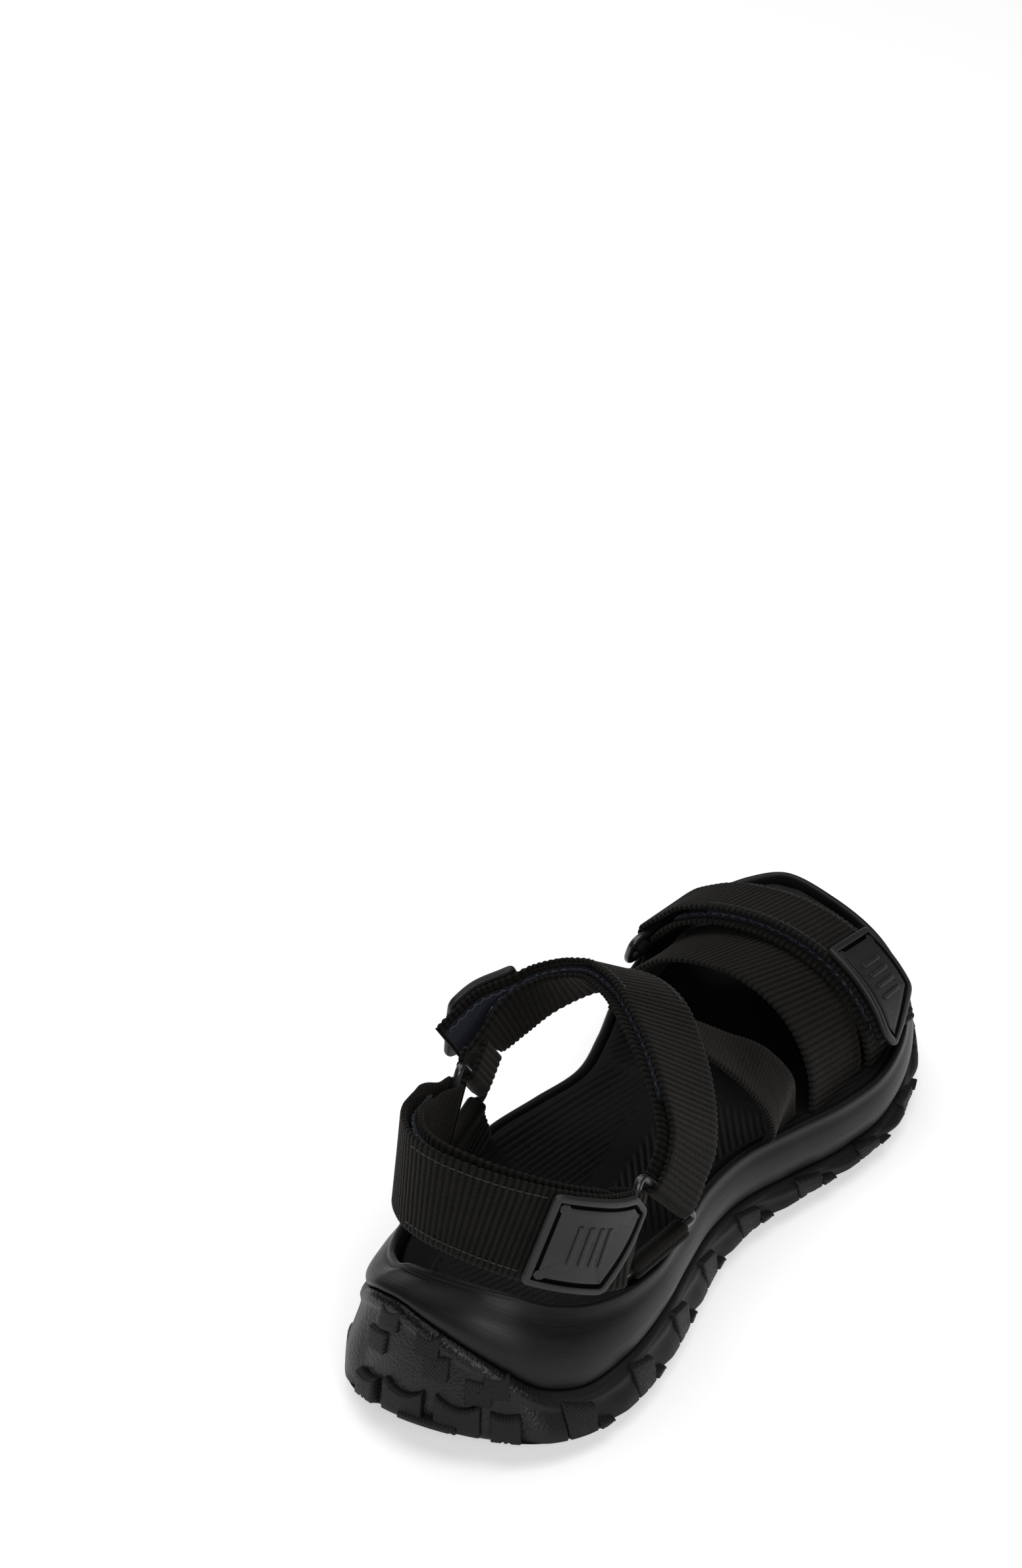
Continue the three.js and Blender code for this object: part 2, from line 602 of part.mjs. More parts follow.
// Flaps: a base part beside the ring and a tip part that opens further.
function flapParts(name, flap, width, split) {
  const hook = { low: -1.9 * GAP - TAPE, high: -1.9 * GAP, width: width - 5 };
  const parts = { flap_base: [0, split - GAP / 2], flap_tip: [split + GAP / 2, flap.length - 3] };
  for (const [part, [from, to]] of Object.entries(parts)) {
    geometries[`${name}_${part}`] = ribbon(flap, { from, to, edges: narrowAtFold(width, from), steps: 40 });
  }
  geometries[`${name}_hook_patch`] = ribbon(flap,
    { from: split + 4, to: flap.length - 4, ...hook, steps: 44 });
}

// A flap is narrow where it turns round its ring.
flapParts('heel', heelFlap, ANKLE_WIDTH, 72);
flapParts('instep', instepFlap, INSTEP_WIDTH - 1, 70);
flapParts('front', closureFlap, FRONT_WIDTH - 1, 30);

const group = new THREE.Group();
group.name = 'trail_sport_sandal';
const box = new THREE.Box3();
for (const geometry of Object.values(geometries)) {
  box.union(new THREE.Box3().setFromBufferAttribute(geometry.attributes.position));
}
const middle = box.getCenter(V(0, 0, 0));
const ORIGIN = V(middle.x, middle.y, box.min.z);
for (const [name, geometry] of Object.entries(geometries)) {
  geometry.translate(-ORIGIN.x, -ORIGIN.y, -ORIGIN.z);
  geometry.computeVertexNormals();
  const mesh = new THREE.Mesh(geometry, new THREE.MeshStandardMaterial({ color: 0x1a1a1a }));
  mesh.name = name;
  group.add(mesh);
}

export default group;
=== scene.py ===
"""Trail sport sandal, right foot: the detailed visual model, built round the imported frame."""
import math

import bmesh
import bpy
import numpy as np
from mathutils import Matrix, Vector


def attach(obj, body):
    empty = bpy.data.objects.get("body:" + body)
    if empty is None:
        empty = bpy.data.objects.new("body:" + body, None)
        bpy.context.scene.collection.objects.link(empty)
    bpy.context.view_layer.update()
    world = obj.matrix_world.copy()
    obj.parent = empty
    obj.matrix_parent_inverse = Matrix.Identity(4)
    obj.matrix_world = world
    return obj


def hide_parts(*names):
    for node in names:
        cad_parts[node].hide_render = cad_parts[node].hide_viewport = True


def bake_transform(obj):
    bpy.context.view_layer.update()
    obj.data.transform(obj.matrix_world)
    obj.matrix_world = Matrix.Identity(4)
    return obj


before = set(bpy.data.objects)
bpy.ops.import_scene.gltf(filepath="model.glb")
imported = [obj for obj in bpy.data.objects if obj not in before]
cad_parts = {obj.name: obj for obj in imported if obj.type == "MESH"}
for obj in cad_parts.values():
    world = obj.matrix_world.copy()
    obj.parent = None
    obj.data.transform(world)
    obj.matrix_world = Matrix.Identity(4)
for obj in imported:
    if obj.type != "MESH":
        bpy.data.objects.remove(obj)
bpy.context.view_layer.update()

# ---- driving dimensions, millimetres in the design frame (heel back at y 0, +x outer side) ----
ORIGIN = np.array([4.8843, 144.279, 0.0])    # design frame to row frame
GAP = 0.3
LUG_DEPTH = 3.5
TOE_SPRING = 14
HEEL_BEVEL = 5
CUP_WALL = 2.4
RIM_WIDTH = 2.2
RECESS_SLOPE = 0.8
BOARD = 1.2
FOOTBED = 5.0
WEBBING = 1.8
TAPE = 1.0
PAD = 2.2
WIRE = 1.35
ANKLE_WIDTH = 31
INSTEP_WIDTH = 30
FRONT_WIDTH = 28
BAND_WIDTH = 36
CROSS_WIDTH = 24
LEG_WIDTH = 27
ANCHOR_WIDTH = 25
RIB_PITCH = 2.0               # grosgrain ribs of the main webbing
FINE_PITCH = 1.3              # ribs of the cross strap

LATERAL = [[1, 0], [18, 2.5], [33, 11], [43, 26], [47.3, 46], [46.8, 70], [43.3, 95], [40.2, 118],
           [41.5, 140], [48, 162], [55, 184], [58.8, 207], [56, 231], [46.5, 254], [31, 271], [9, 283],
           [-13, 288]]
MEDIAL = [[1, 0], [-15, 2.5], [-29, 10.5], [-37.5, 25], [-41, 45], [-41.3, 68], [-41, 92], [-40, 116],
          [-34.5, 138], [-30.2, 160], [-34, 183], [-40, 207], [-43, 230], [-42.5, 250], [-37, 268],
          [-27, 281], [-13, 288]]
WALL_TOP = {
    "lateral": [36, 29, 21, 18.6, 19.4, 19.5, 19, 17.5, 16, 14, 12, 11, 11, 12, 13, 14, 14],
    "medial": [36, 42, 41, 34, 27, 23, 21, 18, 16, 14, 12, 11, 11, 12, 13, 14, 14],
}
WALL_INSET = [6, 6, 5, 3.5, 2.5, 2, 2, 1.6, 1.3, 1, 1, 1, 1, 1, 1.2, 1.5, 1.5]
RIM_TOP = [49, 48.6, 47.6, 45, 40.5, 37, 35.8, 35, 34, 32, 30, 28.5, 28, 28, 28, 28, 28]
RIM_INSET = [15, 15, 14.5, 11, 6.5, 3.2, 2.4, 1.8, 1.2, 0.9, 0.8, 0.8, 1, 2, 3, 4, 4]
RECESS = [27, 27, 27, 27, 27, 27, 26.5, 26, 24.5, 22.5, 20.5, 19, 18.5, 18.5, 18.5, 18.5, 18.5]
LAST = len(LATERAL) - 1


# ---- small helpers --------------------------------------------------------------------------
def vec(*values):
    return np.array(values, float)


def unit(v):
    v = np.asarray(v, float)
    return v / np.maximum(np.linalg.norm(v, axis=-1, keepdims=True), 1e-9)


def smoothstep(x, low, high):
    k = np.clip((x - low) / (high - low), 0, 1)
    return k * k * (3 - 2 * k)


def lift(y):
    """Toe spring and heel bevel: how far the sole is off the flat at y."""
    toe = np.maximum(0, (y - 196) / 92)
    heel = np.maximum(0, (32 - y) / 32)
    return TOE_SPRING * toe * toe + HEEL_BEVEL * heel * heel


def centripetal(points, t, closed=False):
    """Centripetal Catmull-Rom curve through the points, at parameters t from 0 to 1."""
    p = np.asarray(points, float)
    n = len(p)
    place = np.atleast_1d(t) * (n if closed else n - 1)
    if closed:
        first = np.floor(place).astype(int)
        a, b, c, d = (p[(first + k) % n] for k in (-1, 0, 1, 2))
    else:
        first = np.clip(np.floor(place).astype(int), 0, n - 2)
        padded = np.vstack([2 * p[0] - p[1], p, 2 * p[-1] - p[-2]])
        a, b, c, d = (padded[first + k] for k in (0, 1, 2, 3))
    x = (place - first)[:, None]

    def span(u, v):
        return np.maximum(np.linalg.norm(u - v, axis=1, keepdims=True), 1e-8) ** 0.5

    before, here, after = span(a, b), span(b, c), span(c, d)
    start = ((b - a) / before - (c - a) / (before + here) + (c - b) / here) * here
    end = ((c - b) / here - (d - b) / (here + after) + (d - c) / after) * here
    return b + start * x + (3 * (c - b) - 2 * start - end) * x ** 2 + (2 * (b - c) + start + end) * x ** 3


def body_mesh(name, points, faces, body, materials, coords=None, values=None, face_slots=None):
    """A closed smooth piece from points in design millimetres; coords and values feed its material."""
    mesh = bpy.data.meshes.new(name)
    placed = (np.asarray(points, float) - ORIGIN) / 1000
    mesh.from_pydata(placed.tolist(), [], faces)
    if coords is not None:
        layer = mesh.attributes.new("weave", "FLOAT_VECTOR", "POINT")
        layer.data.foreach_set("vector", np.asarray(coords, np.float32).ravel())
    if values is not None:
        layer = mesh.attributes.new("amount", "FLOAT", "POINT")
        layer.data.foreach_set("value", np.asarray(values, np.float32).ravel())
    for material in materials:
        mesh.materials.append(material)
    if face_slots is not None:
        mesh.polygons.foreach_set("material_index", face_slots)
    work = bmesh.new()
    work.from_mesh(mesh)
    bmesh.ops.recalc_face_normals(work, faces=work.faces)
    work.to_mesh(mesh)
    work.free()
    mesh.polygons.foreach_set("use_smooth", [True] * len(mesh.polygons))
    piece = bpy.data.objects.new(name, mesh)
    bpy.context.scene.collection.objects.link(piece)
    if body:
        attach(piece, body)
    return piece


def ring_faces(rings, count, closed=True, offset=0):
    """Quads between successive rings of count points."""
    faces = []
    for r in range(rings - 1):
        for i in range(count if closed else count - 1):
            a = offset + r * count + i
            b = offset + r * count + (i + 1) % count
            faces.append((a, b, b + count, a + count))
    return faces


class Build:
    """Collects closed bodies into one mesh."""

    def __init__(self):
        self.points, self.faces, self.coords, self.values = [], [], [], []
        self.count = 0

    def add(self, points, faces, coords, value=1.0):
        self.points.append(points)
        self.faces += [tuple(i + self.count for i in face) for face in faces]
        self.coords.append(coords)
        self.values.append(np.full(len(points), value) if np.isscalar(value) else value)
        self.count += len(points)

    def piece(self, name, body, materials):
        return body_mesh(name, np.vstack(self.points), self.faces, body, materials,
                         np.vstack(self.coords), np.concatenate(self.values))


# ---- sole surface ---------------------------------------------------------------------------
SAMPLES = 1536
turn_t = np.arange(SAMPLES) / SAMPLES
outline_points = [[x, y, 0] for x, y in LATERAL + MEDIAL[1:-1][::-1]]
edge_at = centripetal(outline_points, turn_t, True)
edge_tangent = unit(centripetal(outline_points, (turn_t + 1e-4) % 1, True)
                    - centripetal(outline_points, (turn_t - 1e-4) % 1, True))
edge_inward = np.stack([-edge_tangent[:, 1], edge_tangent[:, 0], np.zeros(SAMPLES)], 1)
edge_station = np.minimum(turn_t, 1 - turn_t) * 2 * LAST
edge_lateral = turn_t <= 0.5
edge_step = np.linalg.norm(np.roll(edge_at, -1, 0) - edge_at, axis=1)
edge_distance = np.concatenate([[0], np.cumsum(edge_step)[:-1]])
PERIMETER = edge_step.sum()


def softened(values):
    """Rounds off the corners that a table of straight stretches leaves round the outline."""
    window = np.hanning(61)
    window /= window.sum()
    padded = np.concatenate([values[-30:], values, values[:30]])
    return np.convolve(padded, window, mode="valid")


def around(table):
    return np.interp(edge_station, range(LAST + 1), table)


wall_top = softened(np.where(edge_lateral, around(WALL_TOP["lateral"]), around(WALL_TOP["medial"])))
wall_inset = softened(around(WALL_INSET))
rim_top = softened(around(RIM_TOP))
rim_inset = softened(around(RIM_INSET))
recess = softened(around(RECESS))
spring = lift(edge_at[:, 1])


def sole_points(inset, height):
    """Ring of points at that inset from the outline and that height, sample by sample."""
    ring = edge_at + edge_inward * np.reshape(inset, (-1, 1))
    ring[:, 2] = height + spring
    return ring


def at_edge(table, distance):
    """A per-sample table read at distances round the outline."""
    distance = np.mod(distance, PERIMETER)
    wrapped = np.concatenate([table, table[:1]])
    return np.interp(distance, np.concatenate([edge_distance, [PERIMETER]]), wrapped)


CORNER = 3.2                  # rounding where the outsole wall meets its underside


def wall_profile(climb, top, inset_top):
    """Inset and height of the outsole skin; climb runs from negative under the sole to up the wall."""
    height = LUG_DEPTH + np.maximum(climb, 0)
    up = np.clip(np.maximum(climb, 0) / np.maximum(top - LUG_DEPTH, 1), 0, 1.2)
    low = np.clip(CORNER - np.maximum(climb, 0), 0, CORNER)
    rounding = CORNER - np.sqrt(np.maximum(CORNER ** 2 - low ** 2, 0))
    return inset_top * up ** 1.8 + rounding + np.maximum(-climb, 0), height


def on_wall(distance, climb, proud):
    """Points standing proud of the outsole skin, at a distance round it and a climb up it."""
    distance, climb, proud = (np.asarray(v, float) for v in (distance, climb, proud))
    x, y = at_edge(edge_at[:, 0], distance), at_edge(edge_at[:, 1], distance)
    inward = unit(np.stack([at_edge(edge_inward[:, 0], distance), at_edge(edge_inward[:, 1], distance)], 1))
    top, inset_top = at_edge(wall_top, distance), at_edge(wall_inset, distance)
    inset, height = wall_profile(climb, top, inset_top)
    low_inset, low_height = wall_profile(climb - 0.2, top, inset_top)
    high_inset, high_height = wall_profile(climb + 0.2, top, inset_top)
    slope = unit(np.stack([high_inset - low_inset, high_height - low_height], 1))
    out_side, out_up = slope[:, 1], -slope[:, 0]
    inset = inset - proud * out_side
    height = height + proud * out_up
    px, py = x + inward[:, 0] * inset, y + inward[:, 1] * inset
    return np.stack([px, py, height + lift(y)], 1)


# ---- patches: raised shapes with a bevelled edge, laid on any surface ---------------------------
def rounded_outline(corners, radius=1.5, spacing=1.2):
    """Closed outline through straight or bowed sides with rounded corners, evenly sampled."""
    corners = [np.asarray(c, float) for c in corners]
    out = []
    for i, corner in enumerate(corners):
        before, after = corners[i - 1], corners[(i + 1) % len(corners)]
        reach = min(radius, 0.45 * np.linalg.norm(before - corner), 0.45 * np.linalg.norm(after - corner))
        a = corner + unit(before - corner) * reach
        b = corner + unit(after - corner) * reach
        for k in np.linspace(0, 1, 6):
            out.append(a * (1 - k) ** 2 + 2 * corner * k * (1 - k) + b * k ** 2)
        next_reach = min(radius, 0.45 * np.linalg.norm(after - corner))
        c = after + unit(corner - after) * next_reach
        count = int(np.linalg.norm(c - b) / spacing)
        out += [b + (c - b) * k / (count + 1) for k in range(1, count + 1)]
    return np.array(out)


def inset_outline(outline, inset):
    ahead, behind = np.roll(outline, -1, 0), np.roll(outline, 1, 0)
    tangent = unit(ahead - behind)
    area = np.sum(outline[:, 0] * ahead[:, 1] - ahead[:, 0] * outline[:, 1])
    normal = np.stack([-tangent[:, 1], tangent[:, 0]], 1) * np.sign(area)
    return outline + normal * inset


def patch(outline, profile, surface, fill=3):
    """Closed body: the outline stepped inward through (inset, height) pairs, then filled to its middle."""
    rings = [(inset_outline(outline, inset), height) for inset, height in profile]
    last, top = rings[-1]
    middle = last.mean(0)
    for k in range(1, fill + 1):
        rings.append((last + (middle - last) * k / (fill + 0.4), top))
    flat = np.vstack([ring for ring, _ in rings])
    heights = np.concatenate([np.full(len(outline), height) for _, height in rings])
    points = surface(flat[:, 0], flat[:, 1], heights)
    count = len(outline)
    faces = ring_faces(len(rings), count)
    faces.append(tuple(range(count))[::-1])
    faces.append(tuple((len(rings) - 1) * count + i for i in range(count)))
    return points, faces, np.column_stack([flat, heights])


# ---- outsole --------------------------------------------------------------------------------
LUG_FIRST = 48.5              # the first tall lug on each side, measured round from the back of the heel
LUG_PITCH = (PERIMETER - 2 * LUG_FIRST) / round((PERIMETER - 2 * LUG_FIRST) / 29)
LUG_PROUD = 2.6
HEEL_SPAN = 46                # the grained heel panel reaches this far round from the back


def from_heel(distance):
    """Signed distance round the outline from the back of the heel; positive on the outer side."""
    distance = np.mod(distance, PERIMETER)
    return np.where(distance > PERIMETER / 2, distance - PERIMETER, distance)


def scallop(distance, climb, top):
    """The wall swells to a rounded nose behind each tall lug and drops away sharply beside it."""
    reach = np.abs(from_heel(distance))
    phase = np.mod((reach - LUG_FIRST) / LUG_PITCH, 1)
    swell = smoothstep(phase, 0.15, 0.62) * (1 - smoothstep(phase, 0.785, 0.83)) * smoothstep(reach, 24, 31)
    low = smoothstep(climb, -2, 3) * (1 - smoothstep(climb, 0.3 * top, 0.95 * top))
    return 2.6 * swell * low


def outsole_shell():
    """The rubber cup: underside, rolled corner, swelling wall, rounded lip and groove."""
    climbs = np.concatenate([np.linspace(-16, -1, 6), np.linspace(-0.5, 5, 12)])
    rings, grain, climbed = [], [], []
    count = len(edge_distance)
    heel = 1 - smoothstep(np.abs(from_heel(edge_distance)), HEEL_SPAN - 18, HEEL_SPAN)
    top = wall_top - LUG_DEPTH
    levels = [np.full(count, c) for c in climbs] + [5 + (top - 7.4) * k for k in np.linspace(0.05, 1, 26)]
    for climb in levels:
        ridge = 0.9 * np.exp(-((climb - (top - 3.2)) / 1.5) ** 2)
        proud = scallop(edge_distance, climb, top) + ridge
        rings.append(on_wall(edge_distance, climb, proud))
        grain.append(heel * smoothstep(climb, 3, 8))
        climbed.append(climb)
    for angle in np.radians([10, 35, 60, 90, 125, 160]):
        climb = top - 2.4 + 1.7 * np.sin(angle)
        proud = 0.75 - 1.7 * (1 - np.cos(angle))
        rings.append(on_wall(edge_distance, climb, np.full(count, proud)))
        grain.append(heel)
        climbed.append(climb)
    inner = wall_inset + CUP_WALL + 1.5
    rings.append(sole_points(inner, wall_top - 4))
    rings.append(sole_points(inner + 3, LUG_DEPTH + 3))
    grain += [heel, heel]
    climbed += [top, top]
    points = np.vstack(rings)
    faces = ring_faces(len(rings), count)
    bottom = list(range(count))
    last = [(len(rings) - 1) * count + i for i in range(count)]
    faces += [tuple(bottom[::-1]), tuple(last)]
    coords = np.column_stack([np.tile(edge_distance, len(rings)), np.concatenate(climbed),
                              np.zeros(len(points))])
    return points, faces, coords, np.concatenate(grain)


BEVEL = [(-0.35, -1.2), (0.0, 0.72), (0.12, 0.9), (0.45, 1.0)]


def lug(build, corners, proud, radius=1.0, surface=on_wall):
    profile = [(inset, height * proud if height > 0 else height) for inset, height in BEVEL]
    build.add(*patch(rounded_outline(corners, radius), profile, surface, 3))


def crescent(left, right, low, high, dip, steps=9):
    """Four-sided lug outline whose upper edge sags in the middle."""
    top = []
    for k in np.linspace(0, 1, steps):
        top.append((right + (left - right) * k, high - dip * math.sin(math.pi * k) ** 0.8))
    return [(left, low), (right, low), *top]


def perimeter_lugs(build):
    """Tall lugs climbing the wall, each with a small block under the wall behind and ahead of it."""
    count = round((PERIMETER - 2 * LUG_FIRST) / LUG_PITCH)
    for i in range(count + 1):
        middle = LUG_FIRST + i * LUG_PITCH
        forward = 1 if from_heel(middle) > 0 else -1
        top = at_edge(wall_top, middle) - LUG_DEPTH
        high = min(15.0, 0.88 * top)
        rear, front = middle - forward * 4.3, middle + forward * 4.0
        lean = -forward * 2.2
        lug(build, [(rear, -9), (front, -9), (front + forward * 1.2, high * 0.82),
                    (rear + lean, high + 0.6)], LUG_PROUD)
        block = middle + forward * 8.2
        lug(build, [(block - 3.2, -10), (block + 3.2, -10), (block + 3.0, min(4.4, 0.42 * top)),
                    (block - 2.8, min(5.2, 0.5 * top))], LUG_PROUD + 0.5)
        block = middle - forward * 13.5
        lug(build, [(block - 4.2, -10), (block + 4.2, -10), (block + 4.0, 1.6), (block - 4.0, 1.6)],
            LUG_PROUD - 0.4)


PANEL_PAIRS = [(-18.4, -22.4, 32.2, 23.8), (-2.6, 1.2, 28.0, 22.0), (21.0, 15.4, 19.0, 16.6)]


def heel_panel_lugs(build):
    """Stepped pairs of knurled lugs high on the heel panel and bigger crescent lugs along its foot."""
    for upper, lower, upper_height, lower_height in PANEL_PAIRS:
        lug(build, crescent(upper - 4.2, upper + 4.2, upper_height - 3.4, upper_height + 3.9, 1.7), 1.15, 0.5)
        lug(build, crescent(lower - 4.2, lower + 4.2, lower_height - 3.6, lower_height + 3.7, 0.6), 1.3, 0.5)
    for side in (1, -1):
        lug(build, crescent(side * 9.2 - 7.2, side * 9.2 + 7.2, 2.6, 13.6, 3.0), 2.1, 0.7)
        lug(build, [(side * 3.2 - 6.4, -8), (side * 3.2 + 6.4, -8), (side * 3.2 + 6.4, 5.0),
                    (side * 3.2 - 6.4, 5.0)], 3.0, 0.7)
        lug(build, crescent(side * 24 - 4.4, side * 24 + 4.4, -8, 11.4, 0.9), 2.9, 0.7)
        lug(build, [(side * 32 - 4.2, -9), (side * 32 + 4.2, -9), (side * 32 + 4.2, 2.6),
                    (side * 32 - 4.2, 2.6)], 2.4, 0.7)


def under_sole(x, y, proud):
    """Points below the flat underside, which follows the toe spring and heel bevel."""
    return np.stack([x, y, LUG_DEPTH - proud + lift(y)], 1)


def outline_x(table, y):
    rows = np.array(table)
    return np.interp(y, rows[:, 1], rows[:, 0])


def tread_lugs(build):
    """Angled bars and small blocks across the underside."""
    for n, y in enumerate(np.arange(27, 268, 15.0)):
        outer, inner = outline_x(LATERAL, y) - 17, outline_x(MEDIAL, y) + 17
        span = outer - inner
        for part, angle in ((0.24, 0.35), (0.76, -0.35)):
            centre = vec(inner + span * part, y)
            along, across = vec(math.cos(angle), math.sin(angle)), vec(-math.sin(angle), math.cos(angle))
            half = span * 0.19
            corners = [centre + along * i * half + across * j * 3.6
                       for i, j in ((-1, -1), (1, -0.7), (1, 1), (-1, 1))]
            lug(build, corners, LUG_DEPTH, 1.2, under_sole)
        if n % 2:
            middle = (outer + inner) / 2
            corners = [(middle - 4, y + 4), (middle, y + 2), (middle + 4, y + 4), (middle, y + 10.5)]
            lug(build, corners, LUG_DEPTH - 0.6, 0.8, under_sole)


# ---- midsole and footbed --------------------------------------------------------------------
def midsole_shell():
    """Foam carrier: hidden base, sculpted band, rolled rim and the recess that holds the footbed."""
    seat = wall_inset + CUP_WALL + 0.9
    low = LUG_DEPTH + 3.4
    band = rim_top - wall_top
    mix = lambda k: wall_inset + (rim_inset - wall_inset) * k
    key = [
        (seat + 3, np.full(SAMPLES, low)),
        (seat, wall_top - 4),
        (seat - 0.6, wall_top - 1.2),
        (mix(0.06) + 0.9, wall_top - 0.2),
        (mix(0.10) - 0.4, wall_top + 0.13 * band),
        (mix(0.26) - 1.6, wall_top + 0.36 * band),
        (mix(0.52) - 1.3, wall_top + 0.62 * band),
        (mix(0.80) - 0.2, wall_top + 0.82 * band),
        (rim_inset - 0.35, rim_top - 1.5),
        (rim_inset + 0.15, rim_top - 0.35),
        (rim_inset + RIM_WIDTH * 0.5, rim_top),
        (rim_inset + RIM_WIDTH - 0.1, rim_top - 0.5),
        (rim_inset + RIM_WIDTH + 0.45, rim_top - 2.2),
        (rim_inset + RIM_WIDTH + RECESS_SLOPE, recess + 3),
        (rim_inset + RIM_WIDTH + RECESS_SLOPE + 0.4, recess + 0.5),
    ]
    stack = np.stack([np.stack([inset, height], 1) for inset, height in key])
    count, rings = SAMPLES // 2, []
    values = np.linspace(0, 1, 57)
    curve = centripetal(stack.reshape(len(key), -1), values)
    for section in curve.reshape(len(values), SAMPLES, 2):
        rings.append(sole_points(section[:, 0], section[:, 1])[::2])
    points = np.vstack(rings)
    faces = ring_faces(len(rings), count)
    top = [(len(rings) - 1) * count + i for i in range(count)]
    faces += [tuple(range(count))[::-1], tuple(top)]
    coords = np.column_stack([np.tile(edge_distance[::2], len(rings)), np.repeat(values * 60, count),
                              np.zeros(len(points))])
    return points, faces, coords, 1.0


def inset_span(y, ring):
    """Lowest and highest x of a closed ring at each y."""
    low, high = np.full(len(y), np.inf), np.full(len(y), -np.inf)
    after = np.roll(ring, -1, 0)
    for p, q in zip(ring, after):
        a, b = min(p[1], q[1]), max(p[1], q[1])
        inside = (y >= a) & (y <= b)
        k = (y[inside] - p[1]) / (q[1] - p[1] + 1e-9)
        x = p[0] + (q[0] - p[0]) * np.clip(k, 0, 1)
        low[inside] = np.minimum(low[inside], x)
        high[inside] = np.maximum(high[inside], x)
    return low, high


def rib(value, pitch, sharp=0.8):
    return np.abs(np.sin(np.pi * value / pitch)) ** sharp


HEEL_INSERT = {"centre": (3.0, 52.0), "half": (23.0, 31.0)}
RIB_STEP = 2.55


def footbed_relief(x, y):
    """Ribs of the footbed: an oval heel insert, a smooth Y at the arch, a ribbed forefoot."""
    cx, cy = HEEL_INSERT["centre"]
    hx, hy = HEEL_INSERT["half"]
    oval = 1 - np.sqrt(((x - cx) / hx) ** 2 + ((y - cy) / hy) ** 2)
    inside = smoothstep(oval, 0.0, 0.03)
    border = np.exp(-((oval + 0.02) / 0.018) ** 2)
    heel = inside * (rib(x * 0.92 - y * 0.38, RIB_STEP) * 0.75 - 0.55) + 0.35 * border
    bend = 3.0 * np.sin((y - 110) / 40)
    arch_edge = x - (8 - 0.18 * (y - 92)) - bend
    arch = smoothstep(y, 88, 92) * (1 - smoothstep(y, 168, 171)) * smoothstep(np.abs(arch_edge), 4.2, 4.8)
    leaning = np.where(arch_edge > 0, 0.55, -0.2)
    fore = smoothstep(y, 172, 175) * (1 - smoothstep(y, 246, 249))
    ribbed = arch * (rib(x + leaning * y, RIB_STEP) * 0.7 - 0.4)
    ribbed += fore * (rib(x * 0.95 - y * 0.3, RIB_STEP) * 0.7 - 0.4)
    return heel + ribbed


def footbed_top():
    """Footbed slab with its ribbed upper face and a rolled edge."""
    edge = rim_inset + RIM_WIDTH + RECESS_SLOPE + GAP
    ring = edge_at + edge_inward * edge[:, None]
    rows, columns = 620, 150
    y = np.linspace(ring[:, 1].min() + 0.02, ring[:, 1].max() - 0.02, rows)
    left, right = inset_span(y, ring[::2])
    across = (0.5 - 0.5 * np.cos(np.linspace(0, np.pi, columns)) * 0.55
              - 0.45 * np.linspace(1, -1, columns) * 0.5)
    across = (across - across[0]) / (across[-1] - across[0])
    x = left[:, None] + (right - left)[:, None] * across[None, :]
    yy = np.repeat(y[:, None], columns, 1)
    half = (right - left)[:, None] / 2
    side = np.minimum(x - left[:, None], right[:, None] - x)
    ends = np.minimum(yy - y[0], y[-1] - yy)
    margin = np.minimum(side, ends)
    stations = np.interp(yy, np.array(LATERAL)[:, 1], RECESS)
    dish = 2.2 * (1 - smoothstep(margin, 0, 12)) - 0.9 * smoothstep(half, 10, 30) * smoothstep(margin, 8, 30)
    z = (stations + 0.3 + BOARD + FOOTBED + dish + lift(yy)
         + footbed_relief(x, yy) * smoothstep(margin, 1.5, 4))
    z -= 0.8 * (1 - smoothstep(margin, 0, 0.9))
    top = np.stack([x, yy, z], 2).reshape(-1, 3)
    faces = ring_faces(rows, columns, closed=False)
    border = [*range(columns), *[(r + 1) * columns - 1 for r in range(1, rows)],
              *[(rows - 1) * columns + c for c in range(columns - 2, -1, -1)],
              *[r * columns for r in range(rows - 2, 0, -1)]]
    low = top[border] - vec(0, 0, 5)
    start = len(top)
    for i in range(len(border)):
        j = (i + 1) % len(border)
        faces.append((border[i], border[j], start + j, start + i))
    faces.append(tuple(start + i for i in range(len(border))))
    points = np.vstack([top, low])
    return points, faces, points * vec(1, 1, 0), 1.0


# ---- strap paths ----------------------------------------------------------------------------
class StrapPath:
    """Centreline on a strap's inner face, with the outward direction at each point."""

    def __init__(self, stations):
        self.at = [s[0] for s in stations]
        self.out = [s[1] for s in stations]
        self.table_t = np.linspace(0, 1, 401)
        line = centripetal(self.at, self.table_t)
        steps = np.linalg.norm(np.diff(line, axis=0), axis=1)
        self.table_s = np.concatenate([[0], np.cumsum(steps)])
        self.length = self.table_s[-1]

    def frames(self, distance):
        """Place, tangent, outward and across directions at those distances."""
        t = np.interp(distance, self.table_s, self.table_t)
        at = centripetal(self.at, t)
        tangent = unit(centripetal(self.at, np.minimum(t + 1e-4, 1))
                       - centripetal(self.at, np.maximum(t - 1e-4, 0)))
        out = centripetal(self.out, t)
        out = unit(out - tangent * np.sum(out * tangent, 1, keepdims=True))
        return at, tangent, out, np.cross(tangent, out)

    def frame(self, distance):
        return [v[0] for v in self.frames(np.array([distance]))]

    def surface(self, distance, across, height):
        """Points at a distance along, an offset across, and a height off the strap's inner face."""
        at, _, out, sideways = self.frames(distance)
        return at + sideways * np.reshape(across, (-1, 1)) + out * np.reshape(height, (-1, 1))


def station(at, out):
    return vec(*at), unit(out)


